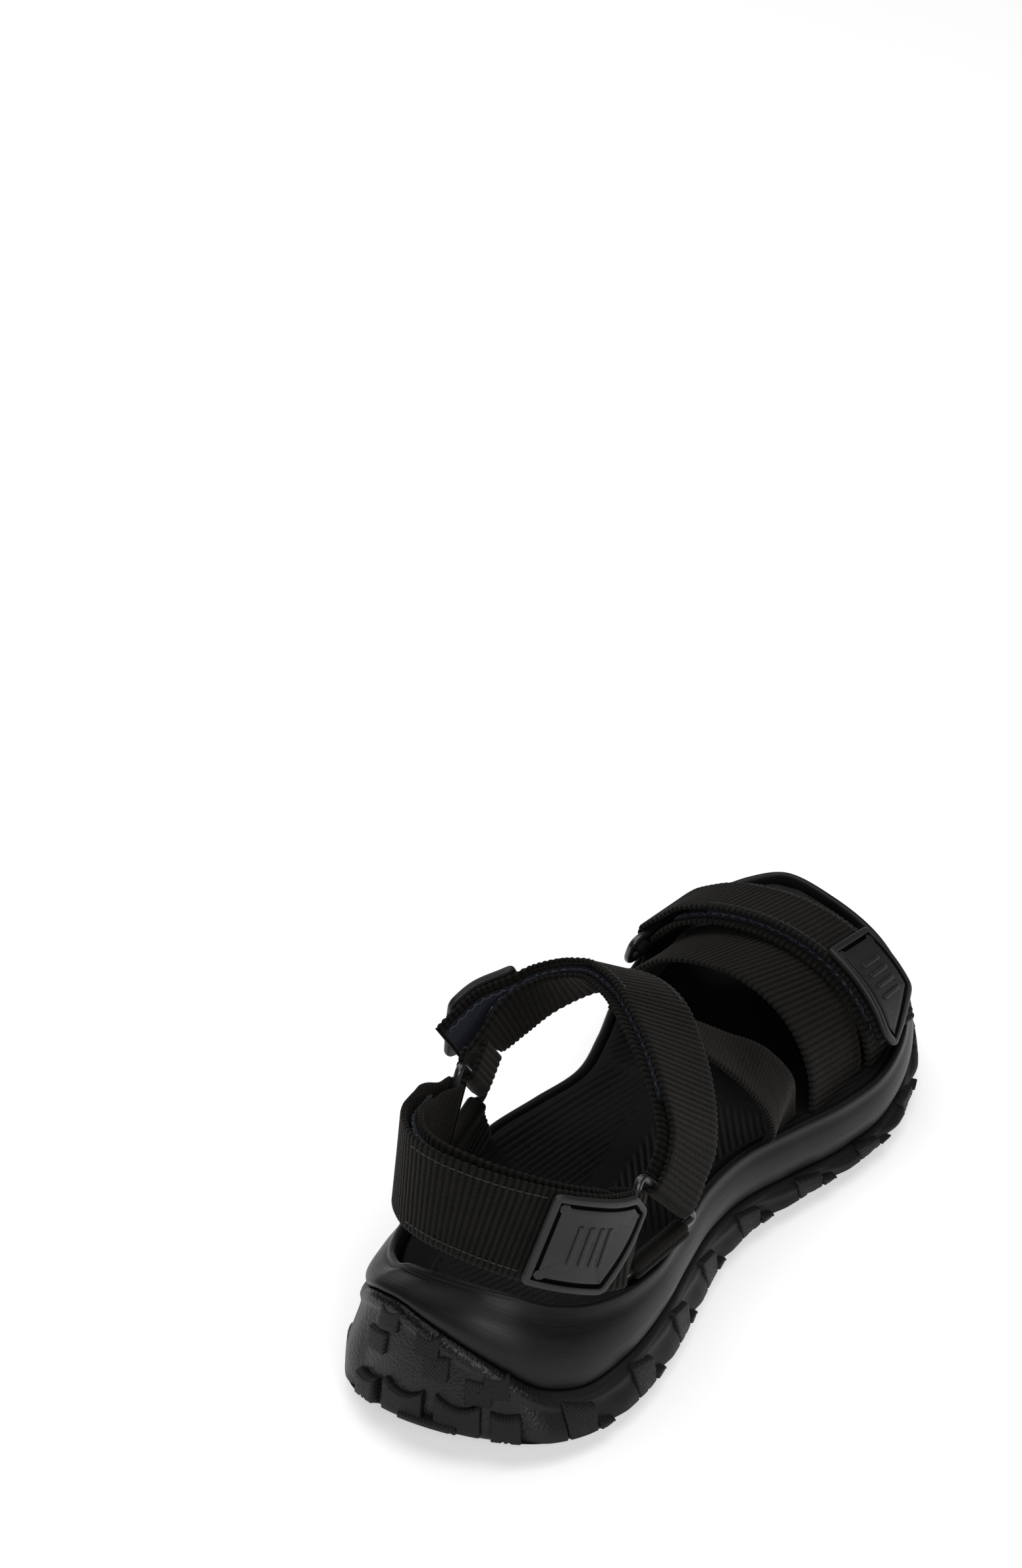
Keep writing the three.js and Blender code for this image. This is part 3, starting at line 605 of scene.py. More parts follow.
BAR = WIRE + GAP
LOOP_LOW = WEBBING + GAP
FLAP_LOW = WEBBING + 2 * BAR
RING_CORNERS = {
    "lateral": {"top": vec(38, 67, 71), "rear": vec(38, 50, 42), "front": vec(45, 91.5, 42.5), "out": 1},
    "medial": {"top": vec(-33, 87, 77), "rear": vec(-36, 74.5, 45), "front": vec(-39, 115, 48), "out": -1},
}


def ring_normal(ring):
    normal = unit(np.cross(ring["front"] - ring["rear"], ring["top"] - ring["rear"]))
    return normal * np.sign(normal[0]) * ring["out"]


def ring_bar(ring, a, b):
    """Middle, axis and away-from-centre direction of one side of a ring."""
    middle = (ring[a] + ring[b]) / 2
    centre = (ring["top"] + ring["rear"] + ring["front"]) / 3
    axis = unit(ring[b] - ring[a])
    away = np.cross(axis, ring_normal(ring))
    return {"middle": middle, "axis": axis, "away": away * np.sign(np.dot(away, middle - centre))}


def turn(bar, normal, a, b, steps=7):
    """Stations round a ring bar; 90 degrees is outside, 180 is inside the ring."""
    stations = []
    for angle in np.radians(np.linspace(a, b, steps + 1)):
        out = bar["away"] * math.cos(angle) + normal * math.sin(angle)
        stations.append((bar["middle"] + out * BAR, out))
    return stations


def sewn_end(bar, normal, tail):
    under = bar["middle"] - normal * BAR + bar["away"] * tail
    return [(under, -normal), *turn(bar, normal, 270, 90)]


def leaving(bar, normal, offset, distance):
    return bar["middle"] + normal * offset + bar["away"] * distance, normal


def ankle_route(sewn, folded, route):
    (sewn_normal, sewn_bar), (fold_normal, fold_bar) = sewn, folded
    return StrapPath([
        *sewn_end(sewn_bar, sewn_normal, 11),
        leaving(sewn_bar, sewn_normal, BAR, 7),
        *[station(at, out) for at, out in route],
        leaving(fold_bar, fold_normal, -BAR - WEBBING, 8),
        leaving(fold_bar, fold_normal, -BAR - WEBBING, 2.4),
    ])


outer_ring, inner_ring = RING_CORNERS["lateral"], RING_CORNERS["medial"]
outer_normal, inner_normal = ring_normal(outer_ring), ring_normal(inner_ring)
heel_sewn, heel_fold = ring_bar(outer_ring, "top", "rear"), ring_bar(inner_ring, "top", "rear")
instep_fold, instep_sewn = ring_bar(outer_ring, "top", "front"), ring_bar(inner_ring, "top", "front")
heel_path = ankle_route((outer_normal, heel_sewn), (inner_normal, heel_fold), [
    [[36, 44, 63], [0.94, -0.34, 0.1]], [[30, 31, 70.5], [0.78, -0.62, 0.14]],
    [[18.5, 22, 77.5], [0.45, -0.88, 0.16]], [[4, 18.5, 82], [0, -1, 0.16]],
    [[-9, 21.5, 82.5], [-0.5, -0.86, 0.14]], [[-18.5, 32, 80], [-0.84, -0.53, 0.12]],
    [[-24.5, 48, 74], [-0.96, -0.26, 0.1]], [[-28.5, 64, 68], [-0.98, -0.1, 0.05]],
])
instep_path = ankle_route((inner_normal, instep_sewn), (outer_normal, instep_fold), [
    [[-33.5, 109, 71], [-0.96, 0.13, 0.25]], [[-28.5, 118, 78], [-0.83, 0.42, 0.36]],
    [[-19.5, 127.5, 83.5], [-0.62, 0.54, 0.56]], [[-7, 132.5, 87], [-0.19, 0.58, 0.78]],
    [[6, 128.5, 87], [0.18, 0.46, 0.87]], [[18.5, 117.5, 83], [0.5, 0.33, 0.8]],
    [[30.5, 103.5, 75.5], [0.76, 0.2, 0.62]], [[38, 91.5, 66.5], [0.93, 0.05, 0.35]],
])


def flap_path(path, bar, normal, length, loose=()):
    """The flap leaves the fold bar on its outside and runs back over its own strap."""
    over = []
    for k in np.arange(1, 17) / 16:
        at, _, out, _ = path.frame(path.length - 8 - (length - 8) * k)
        over.append((at + out * FLAP_LOW, out))
    return StrapPath([*turn(bar, normal, 262, 90), leaving(bar, normal, BAR, 7), *over,
                      *[station(at, out) for at, out in loose]])


heel_flap = flap_path(heel_path, heel_fold, inner_normal, 138)
instep_flap = flap_path(instep_path, instep_fold, outer_normal, 104, [
    [[-38.4, 117.6, 77.4], [-0.84, 0.42, 0.34]], [[-43.2, 110.6, 72.2], [-0.84, 0.42, 0.34]],
    [[-47.2, 103.4, 66.6], [-0.84, 0.4, 0.34]],
])


def strap_foot(side, y):
    """Inner edge of the channel the straps come up through."""
    table = np.array(LATERAL if side == "lateral" else MEDIAL, float)
    at = np.interp(y, table[:, 1], range(LAST + 1))
    sign = 1 if side == "lateral" else -1
    inset = np.interp(at, range(LAST + 1), RIM_INSET) + RIM_WIDTH + RECESS_SLOPE + 2 * GAP + WEBBING
    height = np.interp(at, range(LAST + 1), RECESS) + BOARD + 3 + lift(y)
    return vec(np.interp(y, table[:, 1], table[:, 0]) - sign * inset, y, height)


CROWN_SLOPE = 0.22


def arch_point(y, angle):
    """Arch over the toes at one y: angle 0 is the outer foot of the strap, pi the inner foot."""
    a, b = strap_foot("lateral", y), strap_foot("medial", y)
    crown = 59.5 - CROWN_SLOPE * (y - 222)
    c, s = math.cos(angle), math.sin(angle)
    power = 2 / (1.95 if c > 0 else 2.15)
    base = (a[2] + b[2]) / 2
    return vec((a[0] + b[0]) / 2 + (a[0] - b[0]) / 2 * math.copysign(abs(c) ** power, c), y,
               base + (crown - base) * abs(s) ** power)


def arch_path(from_y, to_y, from_angle, to_angle, offset=0.0, count=12):
    stations = []
    for k in np.linspace(0, 1, count + 1):
        angle = math.radians(from_angle + (to_angle - from_angle) * k)
        y = from_y + (to_y - from_y) * k
        turning = arch_point(y, min(angle + 0.02, math.pi)) - arch_point(y, max(angle - 0.02, 0))
        out = unit(np.cross(vec(0.04, 1, -CROWN_SLOPE), turning))
        stations.append((arch_point(y, angle) + out * offset, out))
    return StrapPath(stations)


band_path = arch_path(191, 222, 3, 177, -WEBBING - 5 * GAP)
closure_path = arch_path(221, 237, 0, 148)
TOE_RING = {"length": 37, "gap": 9.5, "corner": 4, "down": vec(-0.3, 0.05, -0.95)}
fold_at, fold_tangent, fold_out, fold_across = closure_path.frame(closure_path.length)
toe_fold = {"middle": fold_at + fold_tangent * 2.4 + fold_out * (WEBBING + BAR), "axis": fold_across,
            "away": -fold_tangent}
toe_ring_out = unit(np.cross(fold_across, TOE_RING["down"]))
toe_ring_down = np.cross(toe_ring_out, fold_across)
toe_anchor = {"middle": toe_fold["middle"] + toe_ring_down * TOE_RING["gap"], "axis": fold_across,
              "away": toe_ring_down}


def leg_path(bar, normal, side, y, inset=0.0, rise=0.0, drop=4.0):
    """Leg: loops round its bar and runs down on the inside to the sole."""
    inward = unit(vec(-normal[0], -normal[1], 0))
    base = strap_foot(side, y) + inward * (inset - WEBBING) + vec(0, 0, rise)
    return StrapPath([
        leaving(bar, normal, BAR, 2), *turn(bar, normal, 90, 270),
        (bar["middle"] - normal * BAR + bar["away"] * drop, -normal),
        (base + vec(0, 0, min(4, 2 * drop)), inward), (base, inward),
    ])


lateral_leg = leg_path(ring_bar(outer_ring, "rear", "front"), outer_normal, "lateral", 71)
medial_leg = leg_path(ring_bar(inner_ring, "rear", "front"), inner_normal, "medial", 97)
anchor_path = leg_path(toe_anchor, toe_ring_out, "medial", toe_anchor["middle"][1], 1.6, 3, 1)
closure_flap = flap_path(closure_path, toe_fold, fold_out, 97)
cross_path = StrapPath([
    (strap_foot("lateral", 160), vec(1, 0, 0)), (strap_foot("lateral", 159.6) + vec(0, 0, 8), vec(1, 0, 0)),
    *[station(at, out) for at, out in (
        [[43, 157, 43], [0.97, 0.12, 0.2]], [[38, 152, 55], [0.88, 0.25, 0.4]],
        [[30, 147, 62.8], [0.68, 0.38, 0.62]], [[19, 142, 70.2], [0.45, 0.42, 0.78]],
        [[7, 138, 75.5], [0.25, 0.45, 0.86]], [[-5, 136, 78.3], [0, 0.48, 0.88]])],
])


# ---- webbing, tape, pads, wire and thread ---------------------------------------------------
def straight(width):
    return lambda s, span: (np.full_like(s, -width / 2), np.full_like(s, width / 2))


def taper(narrow, wide, reach=26):
    def edges(s, span):
        half = (narrow + (wide - narrow) * smoothstep(np.minimum(s, span - s), 20, 20 + reach)) / 2
        return -half, half
    return edges


def narrow_at_fold(width):
    def edges(s, span):
        half = (min(width, 24.5) + (width - min(width, 24.5)) * smoothstep(s, 12, 36)) / 2
        return -half, half
    return edges


def ribbon(path, start, end, edges, low=0.0, thick=WEBBING, pitch=RIB_PITCH, depth=0.42, lean=0.0,
           step=0.33, columns=15, sway=0.12):
    """Closed woven band: ribbed faces and looped selvedges, its ribs leaning by lean across the width."""
    count = int((end - start) / step)
    s = np.linspace(start, end, count + 1)
    left, right = edges(s - start, end - start)
    swing = sway * np.sin(s / 13.0 + start)
    radius = thick / 2
    section = []
    for k in np.linspace(0, 1, columns):
        section.append((k, 1.0, 0.0))
    for angle in np.radians([50, 15, -15, -50]):
        section.append((1.0, math.sin(angle), math.cos(angle)))
    for k in np.linspace(1, 0, columns):
        section.append((k, -1.0, 0.0))
    for angle in np.radians([-50, -15, 15, 50]):
        section.append((0.0, math.sin(angle), -math.cos(angle)))
    rows, coords, painted_rib_shade = [], [], []
    for k, up, side in section:
        across = left + radius + (right - left - 2 * radius) * k
        wave = rib(s + lean * across, pitch)
        near_edge = np.minimum(across - left, right - across) < radius + 0.6
        bead = 0.32 if near_edge.all() else 0.0
        across = across + swing + side * (radius - 0.3 + (0.3 + bead) * wave)
        height = low + radius + up * (radius - depth * (1 - wave))
        rows.append(path.surface(s, across, height))
        coords.append(np.column_stack([s, across, np.full_like(s, up)]))
        # the rib wave goes out as the mask that paints crests lighter as highlight and valleys darker as
        # shade
        painted_rib_shade.append(wave)
    n = len(section)
    points = np.stack(rows, 1).reshape(-1, 3)
    faces = ring_faces(count + 1, n)
    faces += [tuple(range(n))[::-1], tuple(count * n + i for i in range(n))]
    return points, faces, np.stack(coords, 1).reshape(-1, 3), np.stack(painted_rib_shade, 1).ravel()


def closed_tube(line, radius, sides=14):
    """Closed ring of round wire through a closed line."""
    ahead, behind = np.roll(line, -1, 0), np.roll(line, 1, 0)
    tangent = unit(ahead - behind)
    plane = unit(np.cross(line[len(line) // 3] - line[0], line[2 * len(line) // 3] - line[0]))
    side = np.cross(tangent, plane)
    angles = np.arange(sides) * 2 * np.pi / sides
    points = np.stack([line + side * radius * math.cos(a) + plane * radius * math.sin(a) for a in angles], 1)
    points = points.reshape(-1, 3)
    faces = []
    for i in range(len(line)):
        j = (i + 1) % len(line)
        for k in range(sides):
            m = (k + 1) % sides
            faces.append((i * sides + k, j * sides + k, j * sides + m, i * sides + m))
    return points, faces, points.copy()


def rounded_loop(corners, radius, steps=9):
    """Closed polygon with its corners rounded and its sides sampled."""
    line = []
    for i, corner in enumerate(corners):
        start = corner + unit(corners[i - 1] - corner) * radius
        end = corner + unit(corners[(i + 1) % len(corners)] - corner) * radius
        for k in np.linspace(0, 1, steps):
            line.append(start * (1 - k) ** 2 + 2 * corner * k * (1 - k) + end * k ** 2)
        after = corners[(i + 1) % len(corners)]
        stop = after + unit(corner - after) * radius
        line += [end + (stop - end) * k for k in (0.25, 0.5, 0.75)]
    return np.array(line)


def stitch_line(build, path, route, height, spacing=2.6, length=1.9, radius=0.26):
    """Thread stitches along a route of (distance, across) points lying on a strap."""
    route = np.asarray(route, float)
    steps = np.linalg.norm(np.diff(route, axis=0), axis=1)
    total = np.concatenate([[0], np.cumsum(steps)])
    for middle in np.arange(spacing / 2, total[-1], spacing):
        places = middle + length * np.array([-0.5, -0.35, 0, 0.35, 0.5])
        s, w = np.interp(places, total, route[:, 0]), np.interp(places, total, route[:, 1])
        sink = np.array([-0.25, 0.0, 0.1, 0.0, -0.25])
        line = path.surface(s, w, height + sink)
        tangent = unit(np.gradient(line, axis=0))
        _, _, out, _ = path.frames(s)
        side = unit(np.cross(tangent, out))
        ring = [line + side * radius * math.cos(a) + out * radius * math.sin(a)
                for a in np.radians([0, 60, 120, 180, 240, 300])]
        points = np.stack(ring, 1).reshape(-1, 3)
        faces = ring_faces(5, 6) + [(5, 4, 3, 2, 1, 0), (24, 25, 26, 27, 28, 29)]
        build.add(points, faces, points)


PAD_PROFILE = [(0.25, 0.0), (0.0, 0.35), (0.0, 0.8), (0.22, 1.12), (0.7, 1.28), (2.0, 1.28), (2.3, 1.18),
               (2.45, 0.4), (3.45, 0.35), (3.6, 0.98), (3.9, 1.05), (5.2, 1.05)]


def pad_outline(span, half, slant):
    """Pull tab: square at its strap end, one long and one short slanted corner at its free end."""
    corners = [(0, -half), (span * 0.84, -half), (span, -0.62 * half), (span * 0.66, half), (0, half)]
    return rounded_outline([(s, slant * w) for s, w in corners], 2.6, 1.0)


# ---- materials ------------------------------------------------------------------------------
class Shader:
    """A few shorthands for building one node material."""

    def __init__(self, name):
        self.material = bpy.data.materials.new(name)
        self.material.use_nodes = True
        self.tree = self.material.node_tree
        self.tree.nodes.clear()
        self.bsdf = self.tree.nodes.new("ShaderNodeBsdfPrincipled")
        output = self.tree.nodes.new("ShaderNodeOutputMaterial")
        self.tree.links.new(self.bsdf.outputs[0], output.inputs[0])

    def link(self, socket, target):
        self.tree.links.new(socket, target)

    def attribute(self, name):
        node = self.tree.nodes.new("ShaderNodeAttribute")
        node.attribute_name = name
        return node

    def place(self, scale=(1, 1, 1), turn_z=0.0, source=None):
        """The weave coordinates in millimetres, or the object's own place, scaled."""
        mapping = self.tree.nodes.new("ShaderNodeMapping")
        mapping.inputs["Scale"].default_value = scale
        mapping.inputs["Rotation"].default_value = (0, 0, turn_z)
        if source is None:
            source = self.tree.nodes.new("ShaderNodeTexCoord").outputs["Object"]
        self.link(source, mapping.inputs["Vector"])
        return mapping.outputs[0]

    def noise(self, vector, scale, detail=3.0, rough=0.55):
        node = self.tree.nodes.new("ShaderNodeTexNoise")
        node.inputs["Scale"].default_value = scale
        node.inputs["Detail"].default_value = detail
        node.inputs["Roughness"].default_value = rough
        self.link(vector, node.inputs["Vector"])
        return node.outputs["Fac"]

    def cells(self, vector, scale, feature="F1"):
        node = self.tree.nodes.new("ShaderNodeTexVoronoi")
        node.feature = feature
        node.inputs["Scale"].default_value = scale
        self.link(vector, node.inputs["Vector"])
        return node.outputs["Distance"]

    def wave(self, vector, scale, direction="X"):
        node = self.tree.nodes.new("ShaderNodeTexWave")
        node.bands_direction = direction
        node.inputs["Scale"].default_value = scale
        self.link(vector, node.inputs["Vector"])
        return node.outputs["Fac"]

    def math(self, operation, a, b=0.0):
        node = self.tree.nodes.new("ShaderNodeMath")
        node.operation = operation
        for socket, value in zip(node.inputs, (a, b)):
            if isinstance(value, (int, float)):
                socket.default_value = value
            else:
                self.link(value, socket)
        return node.outputs[0]

    def ramp(self, value, low, high, start=0.0, end=1.0):
        """A value mapped from start..end to low..high, numbers or colours."""
        if isinstance(low, tuple):
            node = self.tree.nodes.new("ShaderNodeValToRGB")
            node.color_ramp.elements[0].position = start
            node.color_ramp.elements[1].position = end
            node.color_ramp.elements[0].color = (*low, 1)
            node.color_ramp.elements[1].color = (*high, 1)
            self.link(value, node.inputs[0])
            return node.outputs[0]
        node = self.tree.nodes.new("ShaderNodeMapRange")
        for name, number in (("From Min", start), ("From Max", end), ("To Min", low), ("To Max", high)):
            node.inputs[name].default_value = number
        self.link(value, node.inputs["Value"])
        return node.outputs[0]

    def bump(self, height, strength, distance, before=None):
        node = self.tree.nodes.new("ShaderNodeBump")
        node.inputs["Strength"].default_value = strength
        node.inputs["Distance"].default_value = distance
        self.link(height, node.inputs["Height"])
        if before is not None:
            self.link(before, node.inputs["Normal"])
        return node.outputs[0]

    def finish(self, colour, rough, normal, **constants):
        for value, name in ((colour, "Base Color"), (rough, "Roughness"), (normal, "Normal")):
            if isinstance(value, tuple):
                self.bsdf.inputs[name].default_value = (*value, 1)
            elif isinstance(value, (int, float)):
                self.bsdf.inputs[name].default_value = value
            elif value is not None:
                self.link(value, self.bsdf.inputs[name])
        for name, value in constants.items():
            self.bsdf.inputs[name.replace("_", " ")].default_value = value
        return self.material


def webbing_material(name, dark, light, pitch, lean=0.0, thread=0.62):
    """Grosgrain: fine warp threads over ribs, slightly warm, with a soft sheen; rib crests painted lighter as
    highlight, valleys painted darker as shade.
    """
    s = Shader(name)
    weave = s.attribute("weave").outputs["Vector"]
    threads = s.cells(s.place((1 / pitch * 2, 1 / thread, 1), lean, weave), 1.0)
    fuzz = s.noise(s.place((1, 1, 1), 0, weave), 3.2, 4)
    patchy = s.noise(s.place((0.05, 0.08, 0.1), 0, weave), 2.0, 3)
    # painted light: the rib value lightens the crests as a painted highlight and darkens the valleys as
    # painted shade
    painted_rib_shade = s.attribute("amount").outputs["Fac"]
    tone_and_rib_shade = s.math("ADD", s.math("MULTIPLY", threads, 0.25), s.math("MULTIPLY", patchy, 0.3))
    tone_and_rib_shade = s.math("SUBTRACT", s.math("ADD", tone_and_rib_shade, 0.75), s.math("MULTIPLY", painted_rib_shade, 0.75))
    normal = s.bump(threads, 0.55, 0.00022)
    normal = s.bump(fuzz, 0.3, 0.00015, normal)
    return s.finish(s.ramp(tone_and_rib_shade, light, dark, 0.15, 0.75), s.ramp(fuzz, 0.62, 0.9, 0.3, 0.7), normal,
                    Specular_IOR_Level=0.10, Sheen_Weight=0.07, Sheen_Roughness=0.45,
                    Sheen_Tint=(0.75, 0.70, 0.64, 1))


def tape_material(name, colour):
    """Hook or loop pile: a dense blue-black fuzz."""
    s = Shader(name)
    weave = s.attribute("weave").outputs["Vector"]
    pile = s.cells(s.place((1, 1, 1), 0, weave), 2.4)
    tuft = s.noise(s.place((1, 1, 1), 0, weave), 1.1, 4)
    lighter = tuple(c * 2.2 for c in colour)
    normal = s.bump(tuft, 0.6, 0.0005, s.bump(pile, 0.9, 0.0004))
    return s.finish(s.ramp(pile, lighter, colour, 0.0, 0.6), 0.9, normal,
                    Specular_IOR_Level=0.1, Sheen_Weight=0.12, Sheen_Roughness=0.5,
                    Sheen_Tint=(0.6, 0.66, 0.85, 1))


def thread_material(name, colour):
    s = Shader(name)
    fibre = s.noise(s.place((1, 1, 1)), 2600, 2)
    return s.finish(s.ramp(fibre, tuple(c * 0.6 for c in colour), colour, 0.35, 0.65), 0.7,
                    s.bump(fibre, 0.4, 0.0001), Specular_IOR_Level=0.35, Sheen_Weight=0.2)


def outsole_material():
    """Moulded rubber: satin pebble on the wall, a glossier leather grain over the heel panel."""
    s = Shader("outsole_rubber")
    amount = s.attribute("amount").outputs["Fac"]
    place = s.place((1000, 1000, 1000))
    pebble = s.cells(place, 1.15, "SMOOTH_F1")
    fine = s.noise(place, 2.6, 3)
    large = s.noise(place, 0.035, 3)
    grain = s.math("MULTIPLY", s.math("SUBTRACT", 1.0, pebble),
                   s.math("ADD", 0.25, s.math("MULTIPLY", amount, 0.9)))
    normal = s.bump(fine, 0.22, 0.00018, s.bump(grain, 0.55, 0.00032))
    rough = s.math("SUBTRACT", s.ramp(large, 0.5, 0.62), s.math("MULTIPLY", amount, 0.2))
    return s.finish(s.ramp(large, (0.0032, 0.0032, 0.0035), (0.0058, 0.0058, 0.0062), 0.3, 0.7),
                    rough, normal,
                    Specular_IOR_Level=0.26)


def knurl_material():
    """Lug faces: fine crossed diamond knurling, duller than the wall."""
    s = Shader("outsole_knurl")
    weave = s.attribute("weave").outputs["Vector"]
    one = s.wave(s.place((1, 1, 1), 0.62, weave), 0.36)
    two = s.wave(s.place((1, 1, 1), -0.62, weave), 0.36)
    diamonds = s.math("MULTIPLY", one, two)
    fine = s.noise(s.place((1000, 1000, 1000)), 1.5, 3)
    normal = s.bump(fine, 0.2, 0.0002, s.bump(diamonds, 0.75, 0.0003))
    return s.finish(s.ramp(diamonds, (0.0032, 0.0032, 0.0034), (0.0095, 0.0095, 0.0098)),
                    s.ramp(fine, 0.45, 0.65, 0.3, 0.7), normal, Specular_IOR_Level=0.24)


def midsole_material():
    """Moulded foam: smooth and matt with faint flow streaks along the band."""
    s = Shader("midsole_foam")
    weave = s.attribute("weave").outputs["Vector"]
    place = s.place((1000, 1000, 1000))
    streak = s.noise(s.place((0.035, 1.6, 1), 0, weave), 1.0, 4)
    fine = s.noise(place, 1.9, 3)
    mottled = s.noise(place, 0.05, 3)
    normal = s.bump(fine, 0.16, 0.00018, s.bump(streak, 0.12, 0.0004))
    return s.finish(s.ramp(mottled, (0.0035, 0.0035, 0.0036), (0.006, 0.006, 0.0062), 0.3, 0.7),
                    s.ramp(streak, 0.38, 0.5, 0.3, 0.7), normal, Specular_IOR_Level=0.22)


def footbed_material():
    """Footbed foam: matt, with a fine skin texture."""
    s = Shader("footbed_foam")
    place = s.place((1000, 1000, 1000))
    fine = s.noise(place, 1.4, 4)
    wide = s.noise(place, 0.04, 3)
    normal = s.bump(fine, 0.25, 0.0002)
    return s.finish(s.ramp(wide, (0.0022, 0.0022, 0.0023), (0.0042, 0.0042, 0.0043), 0.3, 0.7),
                    s.ramp(fine, 0.5, 0.66, 0.3, 0.7), normal, Specular_IOR_Level=0.14)


def pad_material():
    """Soft-touch pull tab rubber: satin, faintly speckled."""
    s = Shader("pad_rubber")
    place = s.place((1000, 1000, 1000))
    fine = s.noise(place, 3.0, 3)
    wide = s.noise(place, 0.09, 3)
    normal = s.bump(fine, 0.14, 0.00012)
    return s.finish(s.ramp(wide, (0.0085, 0.0085, 0.0088), (0.0125, 0.0125, 0.0128), 0.3, 0.7),
                    s.ramp(fine, 0.42, 0.56, 0.3, 0.7), normal, Specular_IOR_Level=0.36)


def groove_shade_material():
    """The recessed border line of a pull tab, coloured near-black as painted shade in the groove."""
    s = Shader("pad_groove_shade")
    fine = s.noise(s.place((1000, 1000, 1000)), 3.0, 3)
    return s.finish((0.001, 0.001, 0.001), s.ramp(fine, 0.5, 0.7), s.bump(fine, 0.2, 0.0001),
                    Specular_IOR_Level=0.04)


def ring_material():
    """Black coated wire with slight orange peel."""
    s = Shader("ring_metal")
    place = s.place((1000, 1000, 1000))
    peel = s.noise(place, 0.9, 2)
    worn = s.noise(place, 0.25, 4)
    return s.finish(s.ramp(worn, (0.012, 0.012, 0.012), (0.03, 0.03, 0.03), 0.55, 0.8),
                    s.ramp(peel, 0.28, 0.42), s.bump(peel, 0.1, 0.0002), Metallic=0.0, Coat_Weight=0.4,
                    Coat_Roughness=0.2)


def board_material():
    s = Shader("board")
    fibre = s.noise(s.place((1000, 400, 1000)), 0.8, 4)
    return s.finish(s.ramp(fibre, (0.02, 0.02, 0.02), (0.035, 0.034, 0.033)), 0.9, s.bump(fibre, 0.3, 0.0003))


WARM_DARK, WARM_LIGHT = (0.0004, 0.0004, 0.0003), (0.0088, 0.0079, 0.0066)
webbing_mat = webbing_material("webbing", WARM_DARK, WARM_LIGHT, RIB_PITCH)
fine_mat = webbing_material("fine_webbing", (0.0006, 0.0005, 0.0004), (0.0085, 0.0077, 0.0064), FINE_PITCH)
loop_mat = tape_material("loop_tape", (0.0035, 0.0037, 0.0055))
hook_mat = tape_material("hook_tape", (0.004, 0.0045, 0.007))
thread_mat = thread_material("thread_black", (0.011, 0.010, 0.009))
zigzag_mat = thread_material("thread_zigzag", (0.05, 0.055, 0.075))
outsole_mat, knurl_mat = outsole_material(), knurl_material()
midsole_mat, footbed_mat = midsole_material(), footbed_material()
pad_mat, groove_shade_mat, ring_mat = pad_material(), groove_shade_material(), ring_material()

# ---- sole pieces ----------------------------------------------------------------------------
shell = outsole_shell()
piece = body_mesh("outsole_shell", shell[0], shell[1], "sandal", [outsole_mat], shell[2], shell[3])
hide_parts("outsole")

lugs = Build()
perimeter_lugs(lugs)
heel_panel_lugs(lugs)
tread_lugs(lugs)
piece = lugs.piece("outsole_lugs", "sandal", [knurl_mat])

shell = midsole_shell()
piece = body_mesh("midsole_body", shell[0], shell[1], "sandal", [midsole_mat], shell[2])
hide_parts("midsole")

slab = footbed_top()
piece = body_mesh("footbed_ribbed", slab[0], slab[1], "sandal", [footbed_mat], slab[2])
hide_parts("footbed")

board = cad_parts["insole_board"]
board.data.materials.clear()
board.data.materials.append(board_material())


# ---- rings ----------------------------------------------------------------------------------
def ring_piece(name, corners, node):
    points, faces, coords = closed_tube(rounded_loop(corners, 4), WIRE)
    made = body_mesh(name, points, faces, "sandal", [ring_mat], coords)
    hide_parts(node)


def bar_end(bar, side):
    return bar["middle"] + bar["axis"] * side * TOE_RING["length"] / 2


ring_piece("outer_ankle_ring", [outer_ring[k] for k in ("top", "rear", "front")], "lateral_ring")
ring_piece("inner_ankle_ring", [inner_ring[k] for k in ("top", "rear", "front")], "medial_ring")
ring_piece("toe_ring_wire", [bar_end(toe_fold, -1), bar_end(toe_fold, 1), bar_end(toe_anchor, 1),
                             bar_end(toe_anchor, -1)], "toe_ring")


# ---- straps ---------------------------------------------------------------------------------
def strap_piece(name, path, start, end, edges, node, material=webbing_mat, slot="webbing", **shape):
    points, faces, coords, painted_rib_shade = ribbon(path, start, end, edges, **shape)
    made = body_mesh(name, points, faces, "sandal", [material], coords, painted_rib_shade)
    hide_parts(node)
    return made


def bent_piece(name, path, start, end, edges, node, bodies, joint_at, material=webbing_mat,
               slot="webbing", **shape):
    """A band that rides on its flap, built unattached and baked in place."""
    points, faces, coords, painted_rib_shade = ribbon(path, start, end, edges, **shape)
    made = body_mesh(name, points, faces, None, [material], coords, painted_rib_shade)
    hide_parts(*node)
    blend_flap(made, path, bodies, joint_at)


def blend_flap(made, path, bodies, joint_at):
    """Bakes the piece's placement into its mesh; the joint frame and bodies are read but nothing is bent."""
    middle, tangent, _, _ = path.frame(joint_at)
    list(bodies)
    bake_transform(made)


strap_piece("lateral_leg_webbing", lateral_leg, 0, lateral_leg.length, straight(LEG_WIDTH), "lateral_leg")
strap_piece("medial_leg_webbing", medial_leg, 0, medial_leg.length, straight(LEG_WIDTH), "medial_leg")
strap_piece("toe_anchor_webbing", anchor_path, 0, anchor_path.length, straight(ANCHOR_WIDTH),
            "toe_ring_anchor")
strap_piece("base_band_webbing", band_path, 0, band_path.length, straight(BAND_WIDTH), "base_band")
strap_piece("cross_strap_webbing", cross_path, 0, cross_path.length, straight(CROSS_WIDTH), "cross_strap",
            fine_mat, "fine_webbing", pitch=FINE_PITCH, depth=0.3, step=0.22, lean=0.25)

